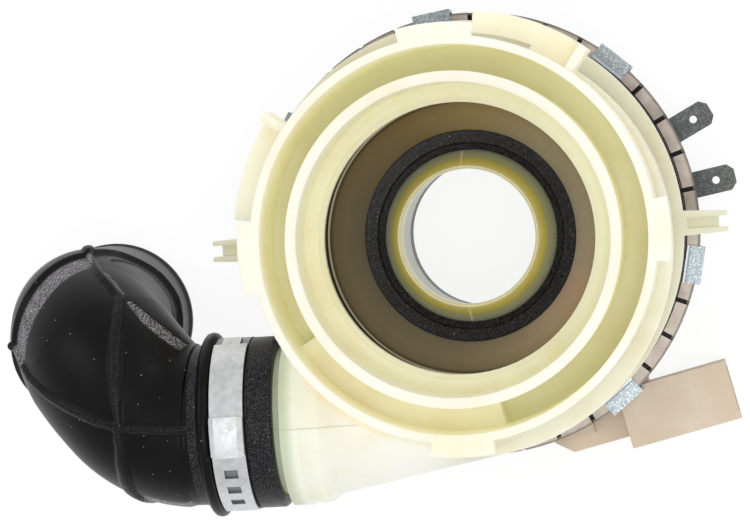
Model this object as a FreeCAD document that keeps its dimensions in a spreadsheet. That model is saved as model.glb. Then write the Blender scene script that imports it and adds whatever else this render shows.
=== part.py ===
import FreeCAD, Part
import math
import os
import re

import Sketcher

# Wet half of a dishwasher circulation pump with its flow heater, in millimetres.
# The pump axis is Z and points to the motor; the part stands on its suction end at Z = 0.
# X runs along the two mounting arms, and the outlet leaves along -X.

Vector = FreeCAD.Vector
UP = Vector(0, 0, 1)

doc = FreeCAD.newDocument("circulation_pump")

# Driving dimensions: name, value or formula from other names, meaning
SIZES = (
    ("fit_gap", 0.15, "clearance between round faces that seat on each other"),
    # Radii from the motor seat out to the rim
    ("seat_r", 35.0, "motor seat bore"),
    ("seat_wall", 2.4, "ring round the motor seat"),
    ("groove_width", 5.9, "annular groove, width"),
    ("collar_wall", 1.9, "motor collar, wall"),
    ("collar_r", "seat_r + seat_wall + groove_width + collar_wall", "motor collar, outside"),
    ("ledge_width", 4.2, "ledge in the motor seat, width"),
    ("throat_r", "seat_r - ledge_width", "hole in the ledge"),
    ("casing_step", 2.6, "volute casing outside the collar"),
    ("casing_shift", 2.3, "volute casing centre off the pump axis, towards the outlet"),
    ("casing_wall", 2.2, "volute casing, wall"),
    ("casing_r", "collar_r + casing_step", "volute casing, outside"),
    ("flange_width", 2.2, "housing flange outside the casing"),
    ("flange_r", "casing_r + flange_width", "housing flange, outside"),
    ("skirt_inset", 1.4, "skirt inside the flange edge"),
    ("skirt_r", "flange_r - skirt_inset", "skirt below the flange, outside"),
    ("foot_width", 2.8, "foot that the rim clamps, beyond the skirt"),
    ("foot_r", "skirt_r + foot_width", "foot that the rim clamps, outside"),
    ("plate_edge", 0.7, "heater plate beyond the foot"),
    ("plate_r", "foot_r + plate_edge", "heater plate, outside"),
    ("gasket_width", 5.4, "gasket under the foot, width"),
    ("gasket_inner_r", "foot_r - gasket_width", "gasket, inside"),
    ("gasket_collar", 1.2, "gasket collar round the skirt, with its clearance"),
    ("gasket_collar_r", "skirt_r + gasket_collar", "gasket collar round the skirt, outside"),
    ("tab_play", 0.2, "space between gasket collar and tabs"),
    ("tab_reach_r", "gasket_collar_r + tab_play", "rim ring tabs, inner edge"),
    ("ring_flange", 2.5, "rim ring below the heater plate, width"),
    ("ring_inner_r", "plate_r - ring_flange", "rim ring, inside of the lower flange"),
    # Radii from the suction nozzle out to the hump
    ("nozzle_r", 20.1, "suction nozzle in the seal, outside"),
    ("nozzle_wall", 4.4, "suction nozzle, widest to bore"),
    ("nozzle_bore_r", "nozzle_r - nozzle_wall", "suction nozzle, bore at the lip"),
    ("nozzle_lip_wall", 0.9, "suction nozzle lip, thickness"),
    ("nozzle_lip_r", "nozzle_bore_r + nozzle_lip_wall", "suction nozzle lip, outside"),
    ("seal_wall", 4.7, "room for the seal round the nozzle"),
    ("neck_r", "nozzle_r + seal_wall", "neck, inside"),
    ("flange_cover", 1.2, "nozzle flange beyond the neck"),
    ("nozzle_flange_r", "neck_r + flange_cover", "nozzle flange, outside"),
    ("hump_width", 11.2, "hump, from the neck to the outer wall"),
    ("hump_r", "neck_r + hump_width", "hump, outer wall"),
    ("crest_slope", 2.4, "bevel between the outer wall and the crest"),
    ("crest_out_r", "hump_r - crest_slope", "crest, outer edge"),
    ("crest_width", 1.9, "crest, width"),
    ("crest_in_r", "crest_out_r - crest_width", "crest, inner edge"),
    ("nozzle_draft", 0.1, "step between the nozzle's upper and lower outside"),
    ("nozzle_spigot_r", "nozzle_r - nozzle_draft", "lower end of the nozzle, outside"),
    ("nozzle_end_wall", 2.6, "lower end of the nozzle, wall"),
    ("nozzle_end_r", "nozzle_spigot_r - nozzle_end_wall", "lower end of the nozzle, bore"),
    ("suction_step", 0.2, "suction seal bore outside the nozzle bore"),
    ("suction_bore_r", "nozzle_end_r + suction_step", "suction seal, bore"),
    ("suction_wall", 3.5, "suction seal round the nozzle"),
    ("suction_r", "nozzle_spigot_r + suction_wall", "suction seal, outside"),
    ("suction_bead_width", 2.0, "stop bead beyond the suction seal"),
    ("suction_bead_r", "suction_r + suction_bead_width", "suction seal, stop bead"),
    # Heights, from the suction end up to the front plane
    ("suction_length", 12.0, "suction seal, plain outside length"),
    ("suction_bead", 2.0, "suction seal, bead height"),
    ("nozzle_sink", 6.0, "depth of the nozzle in the suction seal"),
    ("nozzle_end_z", "suction_length + suction_bead - nozzle_sink", "lower end of the nozzle"),
    ("nozzle_free", 6.5, "nozzle between the suction seal and its flange"),
    ("nozzle_flange_wall", 2.0, "nozzle flange, thickness"),
    ("nozzle_flange_z", "suction_length + suction_bead + nozzle_free + nozzle_flange_wall", "nozzle flange, upper face"),
    ("neck_seat", 1.5, "seal between the nozzle flange and the neck"),
    ("neck_end_z", "nozzle_flange_z + neck_seat", "neck, lower end"),
    ("neck_length", 11.5, "neck, length"),
    ("neck_top_z", "neck_end_z + neck_length", "neck, top"),
    ("cone_height", 11.5, "cone between neck and crest"),
    ("crest_z", "neck_top_z + cone_height", "hump, crest"),
    ("crest_drop", 3.0, "bevel below the crest"),
    ("hump_shoulder_z", "crest_z - crest_drop", "hump, top of the outer wall"),
    ("nozzle_reach", 5.5, "nozzle lip above the neck"),
    ("nozzle_top_z", "neck_top_z + nozzle_reach", "suction nozzle lip"),
    ("lip_length", 7.0, "tapered part of the nozzle"),
    ("nozzle_root_z", "nozzle_top_z - lip_length", "foot of the tapered lip"),
    ("hump_height", 33.6, "hump above the heater plate's rim"),
    ("plate_z", "crest_z - hump_height", "dry face of the heater plate's rim"),
    ("plate_wall", 0.8, "heater plate sheet"),
    ("roof_gap", 6.8, "hump crest below the chamber roof"),
    ("groove_depth", 20.0, "annular groove below the front plane"),
    ("front_z", "crest_z + roof_gap + casing_wall + groove_depth", "front plane of the motor collar"),
    # Housing details
    ("duct_cover_depth", 12.5, "groove floor where the outlet duct passes below"),
    ("duct_cover_mid", 246.0, "middle of that raised floor, degrees"),
    ("duct_cover_angle", 70.0, "length of that raised floor, degrees"),
    ("seat_depth", 14.0, "motor seat, depth to the ledge"),
    ("throat_step", 1.2, "width of the step round the throat"),
    ("throat_drop", 0.8, "depth of that step"),
    ("ledge_wall", 2.2, "ledge thickness"),
    ("lug_width", 3.0, "bayonet lugs beyond the collar"),
    ("lug_height", 4.0, "bayonet lugs, height"),
    ("lug_east", -0.5, "bayonet lug, degrees"),
    ("lug_north", 91.6, "bayonet lug, degrees"),
    ("lug_west", 182.0, "bayonet lug, degrees"),
    ("lug_south", 269.3, "bayonet lug, degrees"),
    ("lug_narrow", 17.2, "length of the east and south lugs, degrees"),
    ("lug_wide", 20.4, "length of the north and west lugs, degrees"),
    ("ramp_width", 6.4, "guide ramps beyond the collar"),
    ("ramp_drop", 15.0, "guide ramps below the front plane"),
    ("ramp_wall", 3.0, "guide ramps, thickness"),
    ("ramp_north", 67.2, "north guide ramp, middle, degrees"),
    ("ramp_north_angle", 31.5, "north guide ramp, length, degrees"),
    ("ramp_west", 157.4, "west guide ramp, middle, degrees"),
    ("ramp_west_angle", 29.0, "west guide ramp, length, degrees"),
    ("ramp_slot", 1.3, "slot between ramp and collar"),
    ("ramp_slot_angle", 17.0, "length of the slot, degrees"),
    ("stop_angle", 2.4, "rib at the end of a ramp, degrees"),
    ("stop_drop", 6.0, "rib top below the front plane"),
    ("flange_drop", 34.0, "flange top below the front plane"),
    ("flange_wall", 3.0, "flange thickness"),
    ("foot_height", 1.5, "foot thickness"),
    ("arm_length", 10.0, "mounting arms beyond the flange"),
    ("arm_reach", "flange_r + arm_length", "mounting arms, tip from the axis"),
    ("arm_root_width", 6.0, "mounting arms, width at the flange"),
    ("arm_tip_width", 4.8, "mounting arms, width at the tip"),
    ("arm_rib", 1.1, "ribs along the arms"),
    ("arm_height", 4.3, "mounting arms, height"),
    ("arm_recess", 1.5, "depth of the recess between the ribs"),
    ("arm_notch", 2.0, "how far the ribs stand out beyond the web"),
    # Outlet
    ("duct_inset", 7.8, "outlet axis inside the casing edge"),
    ("outlet_y", "duct_inset - casing_r", "outlet axis"),
    ("outlet_drop", 27.0, "outlet axis below the front plane"),
    ("outlet_z", "front_z - outlet_drop", "outlet axis above the suction end"),
    ("spigot_r", 17.0, "outlet spigot, outside"),
    ("spigot_wall", 2.8, "outlet spigot, wall"),
    ("spigot_bore_r", "spigot_r - spigot_wall", "outlet spigot, bore"),
    ("shoulder_step", 2.2, "shoulder beyond the spigot"),
    ("shoulder_r", "spigot_r + shoulder_step", "shoulder that the elbow faces"),
    ("shoulder_inset", 5.2, "face of the shoulder inside the casing edge"),
    ("shoulder_x", "shoulder_inset - casing_r", "face of the shoulder"),
    ("shoulder_length", 8.6, "length of the shoulder"),
    ("flare_length", 2.5, "flare between the cone and the shoulder"),
    ("flare_step", 1.8, "height of that flare"),
    ("duct_end_x", "shoulder_x + shoulder_length + flare_length", "end of the outlet cone"),
    ("duct_end_r", "shoulder_r - flare_step", "outlet cone radius there"),
    ("duct_start_x", 9.4, "where the outlet cone leaves the casing"),
    ("duct_start_r", 9.6, "outlet cone radius there"),
    ("duct_throat_r", 4.5, "outlet cone, bore at its narrow end"),
    ("band_height", 0.4, "raised half band on the shoulder"),
    ("band_width", 4.2, "width of the half band"),
    ("spigot_length", 19.4, "spigot beyond the shoulder"),
    ("spigot_end_x", "shoulder_x - spigot_length", "end of the spigot"),
    # Rim
    ("gasket_wall", 1.4, "gasket under the foot"),
    ("gasket_lip", 0.5, "gasket lip on the foot"),
    ("gasket_collar_height", 7.1, "gasket collar above the lip"),
    ("ring_wall", 0.6, "rim ring sheet"),
    ("tab_count", 36, "number of tabs"),
    ("tab_gap", 1.1, "gap between two tabs"),
    ("tab_phase", -1.5, "first gap, degrees"),
    ("tab_slit_low", 1.3, "lower end of the slits above the plate"),
    ("clip_wall", 0.8, "U clip sheet"),
    ("clip_width", 9.0, "U clip, length along the rim"),
    ("clip_play", 0.3, "gap between clip web and rim ring"),
    ("clip_curl", 0.4, "height of the curled front edge"),
    # Heater and connector
    ("tube_r", 3.25, "heating tube, radius"),
    ("tube_sink", 9.0, "heating tube ring below the crest"),
    ("tube_z", "crest_z - tube_sink", "heating tube ring above the suction end"),
    ("tube_bend", 6.0, "heating tube, bends at its ends"),
    ("lead_drop", 5.2, "heating tube ends below the heater plate's rim"),
    ("lead_z", "plate_z - lead_drop", "heating tube ends"),
    ("lead_length", 4.7, "heating tube ends, from the drop to the bead"),
    ("lead_place_a", 22.5, "first tube end, degrees round the axis"),
    ("lead_course_a", 27.3, "first tube end, direction in degrees"),
    ("lead_place_b", 8.7, "second tube end, degrees round the axis"),
    ("lead_course_b", 9.9, "second tube end, direction in degrees"),
    ("bead_r", 3.0, "ceramic bead, radius"),
    ("bead_length", 4.2, "ceramic bead, length"),
    ("bead_chamfer", 0.8, "ceramic bead, chamfer"),
    ("pin_r", 1.25, "terminal pin, radius"),
    ("pin_lap", 3.0, "terminal pin on the spade"),
    ("blade_width", 6.3, "spade terminal, width"),
    ("blade_wall", 0.8, "spade terminal, thickness"),
    ("blade_start", 5.2, "spade terminal, start from the tube end"),
    ("blade_end", 20.2, "spade terminal, tip from the tube end"),
    ("blade_hole_r", 0.9, "spade terminal, hole"),
    ("blade_hole_back", 4.7, "hole behind the tip"),
    ("blade_chamfer", 1.5, "spade terminal, corner cut"),
    ("socket_place", -44.2, "middle of the beige socket, degrees round the axis"),
    ("socket_offset", 10.9, "middle of the beige socket beyond the heater plate's edge"),
    ("socket_turn", 13.0, "direction of the socket, degrees"),
    ("socket_length", 26.8, "socket, length"),
    ("socket_width", 14.2, "socket, width"),
    ("socket_drop", 12.4, "underside of the socket below the heater plate's rim"),
    ("socket_low_z", "plate_z - socket_drop", "socket, underside"),
    ("socket_height", 10.6, "socket, height"),
    ("socket_wall", 1.5, "socket, wall"),
    ("socket_depth", 17.0, "socket, depth of its mouth"),
    ("holder_wall", 5.4, "sensor holder plate, thickness"),
    ("holder_drop", 10.4, "underside of the sensor holder below the heater plate's rim"),
    ("holder_low_z", "plate_z - holder_drop", "sensor holder plate, underside"),
    ("limiter_r", 6.4, "thermal limiter, radius"),
    ("limiter_along", -22.0, "thermal limiter from the socket middle, along"),
    ("limiter_across", 11.6, "thermal limiter from the socket middle, across"),
    ("sensor_r", 3.0, "temperature sensor, radius"),
    ("sensor_along", -10.5, "temperature sensor from the socket middle, along"),
    ("sensor_across", 16.6, "temperature sensor from the socket middle, across"),
    ("cup_depth", 4.0, "seats of limiter and sensor, depth"),
    ("contact_count", 4, "number of contact pins"),
    ("contact_pitch", 2.5, "contact pins, spacing"),
    ("contact_side", 0.8, "contact pins, side of the square"),
    ("contact_length", 11.0, "contact pins, free length"),
    # Elbow and clamp
    ("elbow_end_wall", 2.8, "elbow end ring round the spigot, wall"),
    ("elbow_r", "spigot_r + elbow_end_wall", "elbow end ring, outside"),
    ("elbow_wall", 2.6, "elbow behind the spigot, wall"),
    ("elbow_body_r", "spigot_r + elbow_body_step", "bend and leg of the elbow, outside"),
    ("elbow_body_step", 2.0, "bend and leg of the elbow beyond the spigot"),
    ("elbow_bore_r", "elbow_body_r - elbow_wall", "elbow, bore"),
    ("elbow_gap", 1.7, "space between shoulder and elbow"),
    ("elbow_mouth_x", "shoulder_x - elbow_gap", "elbow end at the shoulder"),
    ("elbow_ring", 6.2, "end ring beside the clamp"),
    ("clamp_seat_wall", 2.2, "elbow under the clamp, wall"),
    ("clamp_seat_r", "spigot_r + clamp_seat_wall", "seat of the hose clamp"),
    ("clamp_seat", 7.9, "seat of the hose clamp, width"),
    ("elbow_bead_wall", 4.4, "bead beside the clamp, height over the spigot"),
    ("elbow_bead_r", "spigot_r + elbow_bead_wall", "bead beside the clamp, radius"),
    ("elbow_bead", 3.2, "bead beside the clamp, width"),
    ("elbow_neck_wall", 1.9, "neck behind the bead, wall"),
    ("elbow_neck_r", "spigot_r + elbow_neck_wall", "neck behind the bead, radius"),
    ("elbow_neck", 2.3, "neck behind the bead, length"),
    ("elbow_swing", 50.35, "turn of the bend in plan, degrees"),
    ("swing_inner_r", 1.3, "inner radius of that turn"),
    ("dive_inner_r", 2.2, "inner radius of the turn down"),
    ("elbow_rib", 0.9, "height of the mould ribs"),
    ("elbow_rib_width", 1.8, "width of the mould ribs"),
    ("cross_rib", 15.4, "cross rib behind the start of the bend"),
    ("clamp_wall", 0.6, "hose clamp band"),
    ("clamp_play", 0.1, "space under the band"),
    ("clamp_side", 0.1, "space beside the band"),
    ("clamp_width", "clamp_seat - 2 * clamp_side", "hose clamp band, width"),
    ("clamp_lap_mid", 94.0, "middle of the band's overlap, degrees"),
    ("clamp_lap", 142.0, "length of the overlap, degrees"),
    ("clamp_tongue_width", 4.2, "tongue at the end of the overlap"),
    ("clamp_tongue", 14.0, "length of the tongue, degrees"),
    ("hook_mid", 94.0, "raised hook of the clamp, degrees"),
    ("hook_angle", 24.0, "length of the hook, degrees"),
    ("hook_height", 2.0, "height of the hook"),
    ("window_first", 120.0, "first window, degrees"),
    ("window_pitch", 13.5, "window spacing, degrees"),
    ("window_count", 3, "number of windows"),
    ("window_angle", 6.6, "window, length in degrees"),
    ("window_width", 3.1, "window, width"),
)

sizes = doc.addObject("Spreadsheet::Sheet", "sizes")
for row, (alias, value, meaning) in enumerate(SIZES, start=1):
    sizes.set("A%d" % row, meaning)
    sizes.setAlias("B%d" % row, alias)
for row, (alias, value, meaning) in enumerate(SIZES, start=1):
    sizes.set("B%d" % row, "=" + value if isinstance(value, str) else str(value))
doc.recompute()


def size(alias):
    """The number in the sheet's cell."""
    return float(sizes.get(alias))


def bound(text):
    """An expression in which each size is read from the sheet."""
    functions = ("sin", "cos", "tan")
    return re.sub("[a-z][a-z0-9_]*", lambda word: word[0] if word[0] in functions else "sizes." + word[0], text)


# Levels and radii that several pieces share
PLATE_TOP = "(plate_z + plate_wall)"
FOOT_LOW = "(plate_z + plate_wall + gasket_wall)"
FOOT_TOP = "(plate_z + plate_wall + gasket_wall + foot_height)"
LIP_TOP = "(plate_z + plate_wall + gasket_wall + foot_height + gasket_lip)"
TAB_TOP = "(plate_z + plate_wall + gasket_wall + foot_height + gasket_lip + ring_wall)"
GROOVE_FLOOR = "(front_z - groove_depth)"
FLANGE_TOP = "(front_z - flange_drop)"
LEDGE_TOP = "(front_z - seat_depth)"
ROOF = "(front_z - groove_depth - casing_wall)"
GROOVE_OUT_R = "(seat_r + seat_wall + groove_width)"
GROOVE_IN_R = "(seat_r + seat_wall)"
CHAMBER_R = "(casing_r - casing_wall)"
WEB_IN_R = "(plate_r + 2 * fit_gap)"
WEB_OUT_R = "(plate_r + 2 * fit_gap + ring_wall)"
CLIP_IN_R = "(plate_r + 2 * fit_gap + ring_wall + clip_play)"


def new_body(label):
    body = doc.addObject("PartDesign::Body", label)
    body.Label = label
    return body


def add_sketch(body, name, plane="XZ_Plane", base=("0", "0", "0"), turn=None, turn_axis=Vector(0, 1, 0)):
    """A sketch on one of the body's own planes, shifted and turned by sheet expressions."""
    sketch = body.newObject("Sketcher::SketchObject", body.Name + "_" + name)
    feature = next(item for item in body.Origin.OriginFeatures if item.Role == plane)
    sketch.AttachmentSupport = (feature, [""])
    sketch.MapMode = "FlatFace"
    if turn:
        sketch.AttachmentOffset = FreeCAD.Placement(Vector(), FreeCAD.Rotation(turn_axis, 1))
        sketch.setExpression("AttachmentOffset.Rotation.Angle", bound(turn))
    for axis, shift in zip("xyz", base):
        if shift != "0":
            sketch.setExpression("AttachmentOffset.Base." + axis, bound(shift))
    return sketch


def bind_point(sketch, rules, bindings, shape, point, place):
    """Tie one point of a sketch to its two coordinates."""
    for kind, text, axis in (("DistanceX", place[0], -2), ("DistanceY", place[1], -1)):
        if text == "0":
            rules.append(Sketcher.Constraint("PointOnObject", shape, point, axis))
        else:
            bindings.append((sketch.ConstraintCount + len(rules), text))
            rules.append(Sketcher.Constraint(kind, -1, 1, shape, point, 1.0))


def draw_outline(sketch, corners):
    """A closed outline of straight lines through corners given as pairs of expressions."""
    count = len(corners)
    first = sketch.GeometryCount
    start = [Vector(math.cos(2 * math.pi * k / count), math.sin(2 * math.pi * k / count), 0) for k in range(count)]
    sketch.addGeometry([Part.LineSegment(start[k], start[(k + 1) % count]) for k in range(count)], False)
    rules = [Sketcher.Constraint("Coincident", first + k, 2, first + (k + 1) % count, 1) for k in range(count)]
    bindings = []
    for k, corner in enumerate(corners):
        bind_point(sketch, rules, bindings, first + k, 1, corner)
    sketch.addConstraint(rules)
    for index, text in bindings:
        sketch.setExpression("Constraints[%d]" % index, bound(text))


def draw_circle(sketch, radius, centre=("0", "0")):
    """A circle with its radius and centre given as expressions."""
    shape = sketch.addGeometry(Part.Circle(Vector(0.5, 0.5, 0), UP, 1.0), False)
    rules = []
    bindings = []
    bind_point(sketch, rules, bindings, shape, 3, centre)
    bindings.append((sketch.ConstraintCount + len(rules), radius))
    rules.append(Sketcher.Constraint("Radius", shape, 1.0))
    sketch.addConstraint(rules)
    for index, text in bindings:
        sketch.setExpression("Constraints[%d]" % index, bound(text))


def finish_feature(body, feature, cuts):
    """Recompute, and make sure that the feature added or removed material."""
    before = body.Shape.Volume if body.Tip is not None and not body.Shape.isNull() else 0.0
    body.Tip = feature
    doc.recompute()
    after = body.Shape.Volume
    if (cuts and after > before - 1e-4) or (not cuts and after < before + 1e-4):
        raise RuntimeError("%s left the volume at %.3f" % (feature.Name, after))


def turn_profile(body, name, corners, angle=None, cuts=False, axis="V_Axis", **place):
    """Revolve an outline about a sketch axis, all round or by an angle centred on the sketch plane."""
    sketch = add_sketch(body, name + "_section", **place)
    draw_outline(sketch, corners)
    doc.recompute()
    kind = "PartDesign::Groove" if cuts else "PartDesign::Revolution"
    feature = body.newObject(kind, body.Name + "_" + name)
    feature.Profile = sketch
    feature.ReferenceAxis = (sketch, [axis])
    feature.Angle = 360
    if angle:
        feature.Midplane = True
        feature.setExpression("Angle", bound(angle))
    sketch.Visibility = False
    finish_feature(body, feature, cuts)
    return feature


def extrude(body, name, height, corners=None, circle=None, cuts=False, symmetric=False, **place):
    """Pad or pocket an outline or a circle along the sketch normal."""
    sketch = add_sketch(body, name + "_outline", **place)
    if corners:
        draw_outline(sketch, corners)
    if circle:
        draw_circle(sketch, *circle)
    doc.recompute()
    feature = body.newObject("PartDesign::Pocket" if cuts else "PartDesign::Pad", body.Name + "_" + name)
    feature.Profile = sketch
    feature.setExpression("Length", bound(height))
    if symmetric:
        feature.Midplane = True
    elif cuts:
        feature.Reversed = True
    sketch.Visibility = False
    finish_feature(body, feature, cuts)
    return feature


def repeat_round(body, name, originals, count, axis, angle=None):
    """Repeat features about an axis, all round or at a spacing."""
    pattern = body.newObject("PartDesign::PolarPattern", body.Name + "_" + name)
    pattern.Originals = originals
    pattern.Axis = axis
    pattern.Angle = 360
    if angle:
        pattern.setExpression("Angle", bound(angle))
    pattern.setExpression("Occurrences", bound(count))
    body.Tip = pattern
    doc.recompute()
    return pattern


def round_edges(body, name, rings, radius):
    """Round the circular edges that lie at the given radii and heights, all in one fillet."""
    base = body.Tip
    names = []
    for index, edge in enumerate(base.Shape.Edges, start=1):
        curve = edge.Curve
        if not isinstance(curve, Part.Circle) or abs(abs(curve.Axis.z) - 1) > 1e-6:
            continue
        for ring_r, ring_z in rings:
            if abs(curve.Radius - ring_r) < 1e-3 and abs(curve.Center.z - ring_z) < 1e-3:
                names.append("Edge%d" % index)
    if not names:
        raise RuntimeError("no edge to round for " + name)
    fillet = body.newObject("PartDesign::Fillet", body.Name + "_" + name)
    fillet.Base = (base, names)
    fillet.Radius = radius
    body.Tip = fillet
    doc.recompute()
    return fillet


def feature_shape(label, shape):
    """A sub-part whose form neither sketches nor primitives give."""
    item = doc.addObject("Part::Feature", label)
    item.Label = label
    item.Shape = shape
    item.Placement = FreeCAD.Placement()
    return item


def build_housing():
    """Pump housing: one polypropylene moulding."""
    body = new_body("pump_housing")
    casing_height = "(front_z - groove_depth) - (front_z - flange_drop)"
    extrude(body, "casing", casing_height, circle=("casing_r", ("0", "-casing_shift")), plane="XY_Plane",
            base=("0", "0", FLANGE_TOP))
    turn_profile(body, "collar", [("0", GROOVE_FLOOR), ("collar_r", GROOVE_FLOOR), ("collar_r", "front_z"),
                                  ("0", "front_z")])
    inner_r = "(casing_r - casing_wall - casing_shift - 2)"
    turn_profile(body, "flange", [(inner_r, FLANGE_TOP), ("flange_r", FLANGE_TOP),
                                  ("flange_r", FLANGE_TOP + " - flange_wall"),
                                  ("skirt_r", FLANGE_TOP + " - flange_wall"), ("skirt_r", FOOT_TOP),
                                  ("foot_r", FOOT_TOP), ("foot_r", FOOT_LOW), (inner_r, FOOT_LOW)])
    outlet = {"plane": "XY_Plane", "base": ("0", "outlet_y", "outlet_z"), "axis": "H_Axis"}
    nose_x = "duct_start_x + duct_start_r"
    turn_profile(body, "duct", [(nose_x, "0"), ("duct_start_x + duct_start_r * 0.6", "duct_start_r * 0.7"),
                                ("duct_start_x", "duct_start_r"), ("duct_end_x", "duct_end_r"),
                                ("shoulder_x + shoulder_length", "shoulder_r"), ("shoulder_x", "shoulder_r"),
                                ("shoulder_x", "spigot_r"), ("spigot_end_x + 1", "spigot_r"),
                                ("spigot_end_x", "spigot_r - 0.6"), ("spigot_end_x", "0")], **outlet)
    turn_profile(body, "half_band", [("shoulder_x", "-shoulder_r + 1"), ("shoulder_x", "-shoulder_r - band_height"),
                                     ("shoulder_x + band_width", "-shoulder_r - band_height"),
                                     ("shoulder_x + band_width", "-shoulder_r + 1")], angle="180", **outlet)
    turn_profile(body, "groove", [(GROOVE_IN_R, GROOVE_FLOOR), (GROOVE_OUT_R, GROOVE_FLOOR),
                                  (GROOVE_OUT_R, "front_z"), (GROOVE_IN_R, "front_z")], cuts=True)
    cover_top = "(front_z - duct_cover_depth)"
    turn_profile(body, "duct_cover", [(GROOVE_IN_R + " - 0.5", ROOF), (GROOVE_OUT_R + " + 0.5", ROOF),
                                      (GROOVE_OUT_R + " + 0.5", cover_top), (GROOVE_IN_R + " - 0.5", cover_top)],
                 angle="duct_cover_angle", turn="duct_cover_mid")
    ledge_low = "(front_z - seat_depth - throat_drop - ledge_wall)"
    turn_profile(body, "motor_seat", [("0", "front_z"), ("seat_r", "front_z"), ("seat_r", LEDGE_TOP),
                                      ("throat_r + throat_step", LEDGE_TOP),
                                      ("throat_r + throat_step", LEDGE_TOP + " - throat_drop"),
                                      ("throat_r", LEDGE_TOP + " - throat_drop"), ("throat_r", ledge_low),
                                      ("seat_r", ledge_low), ("seat_r", ROOF), ("0", ROOF)], cuts=True)
    flange_low = "(front_z - flange_drop - flange_wall)"
    extrude(body, "chamber", "%s - %s" % (ROOF, flange_low), circle=(CHAMBER_R, ("0", "-casing_shift")),
            cuts=True, plane="XY_Plane", base=("0", "0", flange_low))
    extrude(body, "skirt_bore", "%s - plate_z" % flange_low, circle=(CHAMBER_R, ("0", "0")), cuts=True,
            plane="XY_Plane", base=("0", "0", "plate_z"))
    turn_profile(body, "duct_bore", [("duct_start_x", "0"), ("duct_start_x", "duct_throat_r"),
                                     ("shoulder_x + shoulder_length / 2", "spigot_bore_r"),
                                     ("spigot_end_x - 1", "spigot_bore_r"), ("spigot_end_x - 1", "0")],
                 cuts=True, **outlet)
    # The elbow's end ring swings clear of the flange and the casing
    turn_profile(body, "elbow_room", [("shoulder_x - 0.5", "spigot_r"), ("shoulder_x - 0.5", "elbow_r + 3 * fit_gap"),
                                      ("shoulder_x - 6", "elbow_r + 3 * fit_gap"), ("shoulder_x - 6", "spigot_r")],
                 cuts=True, **outlet)
    for name, place, length in (("east", "lug_east", "lug_narrow"), ("north", "lug_north", "lug_wide"),
                                ("west", "lug_west", "lug_wide"), ("south", "lug_south", "lug_narrow")):
        turn_profile(body, "lug_" + name, [("collar_r - 0.5", "front_z"), ("collar_r + lug_width", "front_z"),
                                           ("collar_r + lug_width", "front_z - lug_height"),
                                           ("collar_r - 0.5", "front_z - lug_height")], angle=length, turn=place)
    ramp_top = "(front_z - ramp_drop)"
    for name in ("ramp_north", "ramp_west"):
        turn_profile(body, name, [("collar_r - 0.5", ramp_top), ("collar_r + ramp_width", ramp_top),
                                  ("collar_r + ramp_width", ramp_top + " - ramp_wall"),
                                  ("collar_r - 0.5", ramp_top + " - ramp_wall")], angle=name + "_angle", turn=name)
        turn_profile(body, name + "_stop", [("collar_r - 0.5", "front_z - stop_drop"),
                                            ("collar_r + ramp_width", "front_z - stop_drop"), ("collar_r + ramp_width", ramp_top + " - 1"),
                                            ("collar_r - 0.5", ramp_top + " - 1")], angle="stop_angle",
                     turn="%s - %s_angle / 2 + stop_angle / 2" % (name, name))
        turn_profile(body, name + "_slot", [("collar_r", ramp_top + " + 1"), ("collar_r + ramp_slot", ramp_top + " + 1"),
                                            ("collar_r + ramp_slot", ramp_top + " - ramp_wall - 1"),
                                            ("collar_r", ramp_top + " - ramp_wall - 1")], angle="ramp_slot_angle",
                     turn="%s + %s_angle / 2 - ramp_slot_angle / 2" % (name, name), cuts=True)
    arm_low = FLANGE_TOP + " - arm_height"
    root_x = "(skirt_r - 1.5)"
    arm = extrude(body, "arm", "arm_height", corners=[(root_x, "-arm_root_width / 2"), ("arm_reach", "-arm_tip_width / 2"),
                                                      ("arm_reach", "arm_tip_width / 2"), (root_x, "arm_root_width / 2")],
                  plane="XY_Plane", base=("0", "0", arm_low))
    recess = [("flange_r + 0.8", "-arm_tip_width / 2 + arm_rib"), ("arm_reach + 1", "-arm_tip_width / 2 + arm_rib"),
              ("arm_reach + 1", "arm_tip_width / 2 - arm_rib"), ("flange_r + 0.8", "arm_tip_width / 2 - arm_rib")]
    upper = extrude(body, "arm_upper_recess", "arm_recess", corners=recess, cuts=True, plane="XY_Plane",
                    base=("0", "0", FLANGE_TOP + " - arm_recess"))
    lower = extrude(body, "arm_lower_recess", "arm_recess", corners=recess, cuts=True, plane="XY_Plane",
                    base=("0", "0", arm_low))
    notch_x = "arm_reach - arm_notch"
    notch = extrude(body, "arm_notch", "arm_height", corners=[(notch_x, recess[0][1]), ("arm_reach + 1", recess[0][1]),
                                                              ("arm_reach + 1", recess[2][1]), (notch_x, recess[2][1])],
                    cuts=True, plane="XY_Plane", base=("0", "0", arm_low))
    repeat_round(body, "two_arms", [arm, upper, lower, notch], "2", (notch.Profile[0], ["N_Axis"]))
    return body


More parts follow.
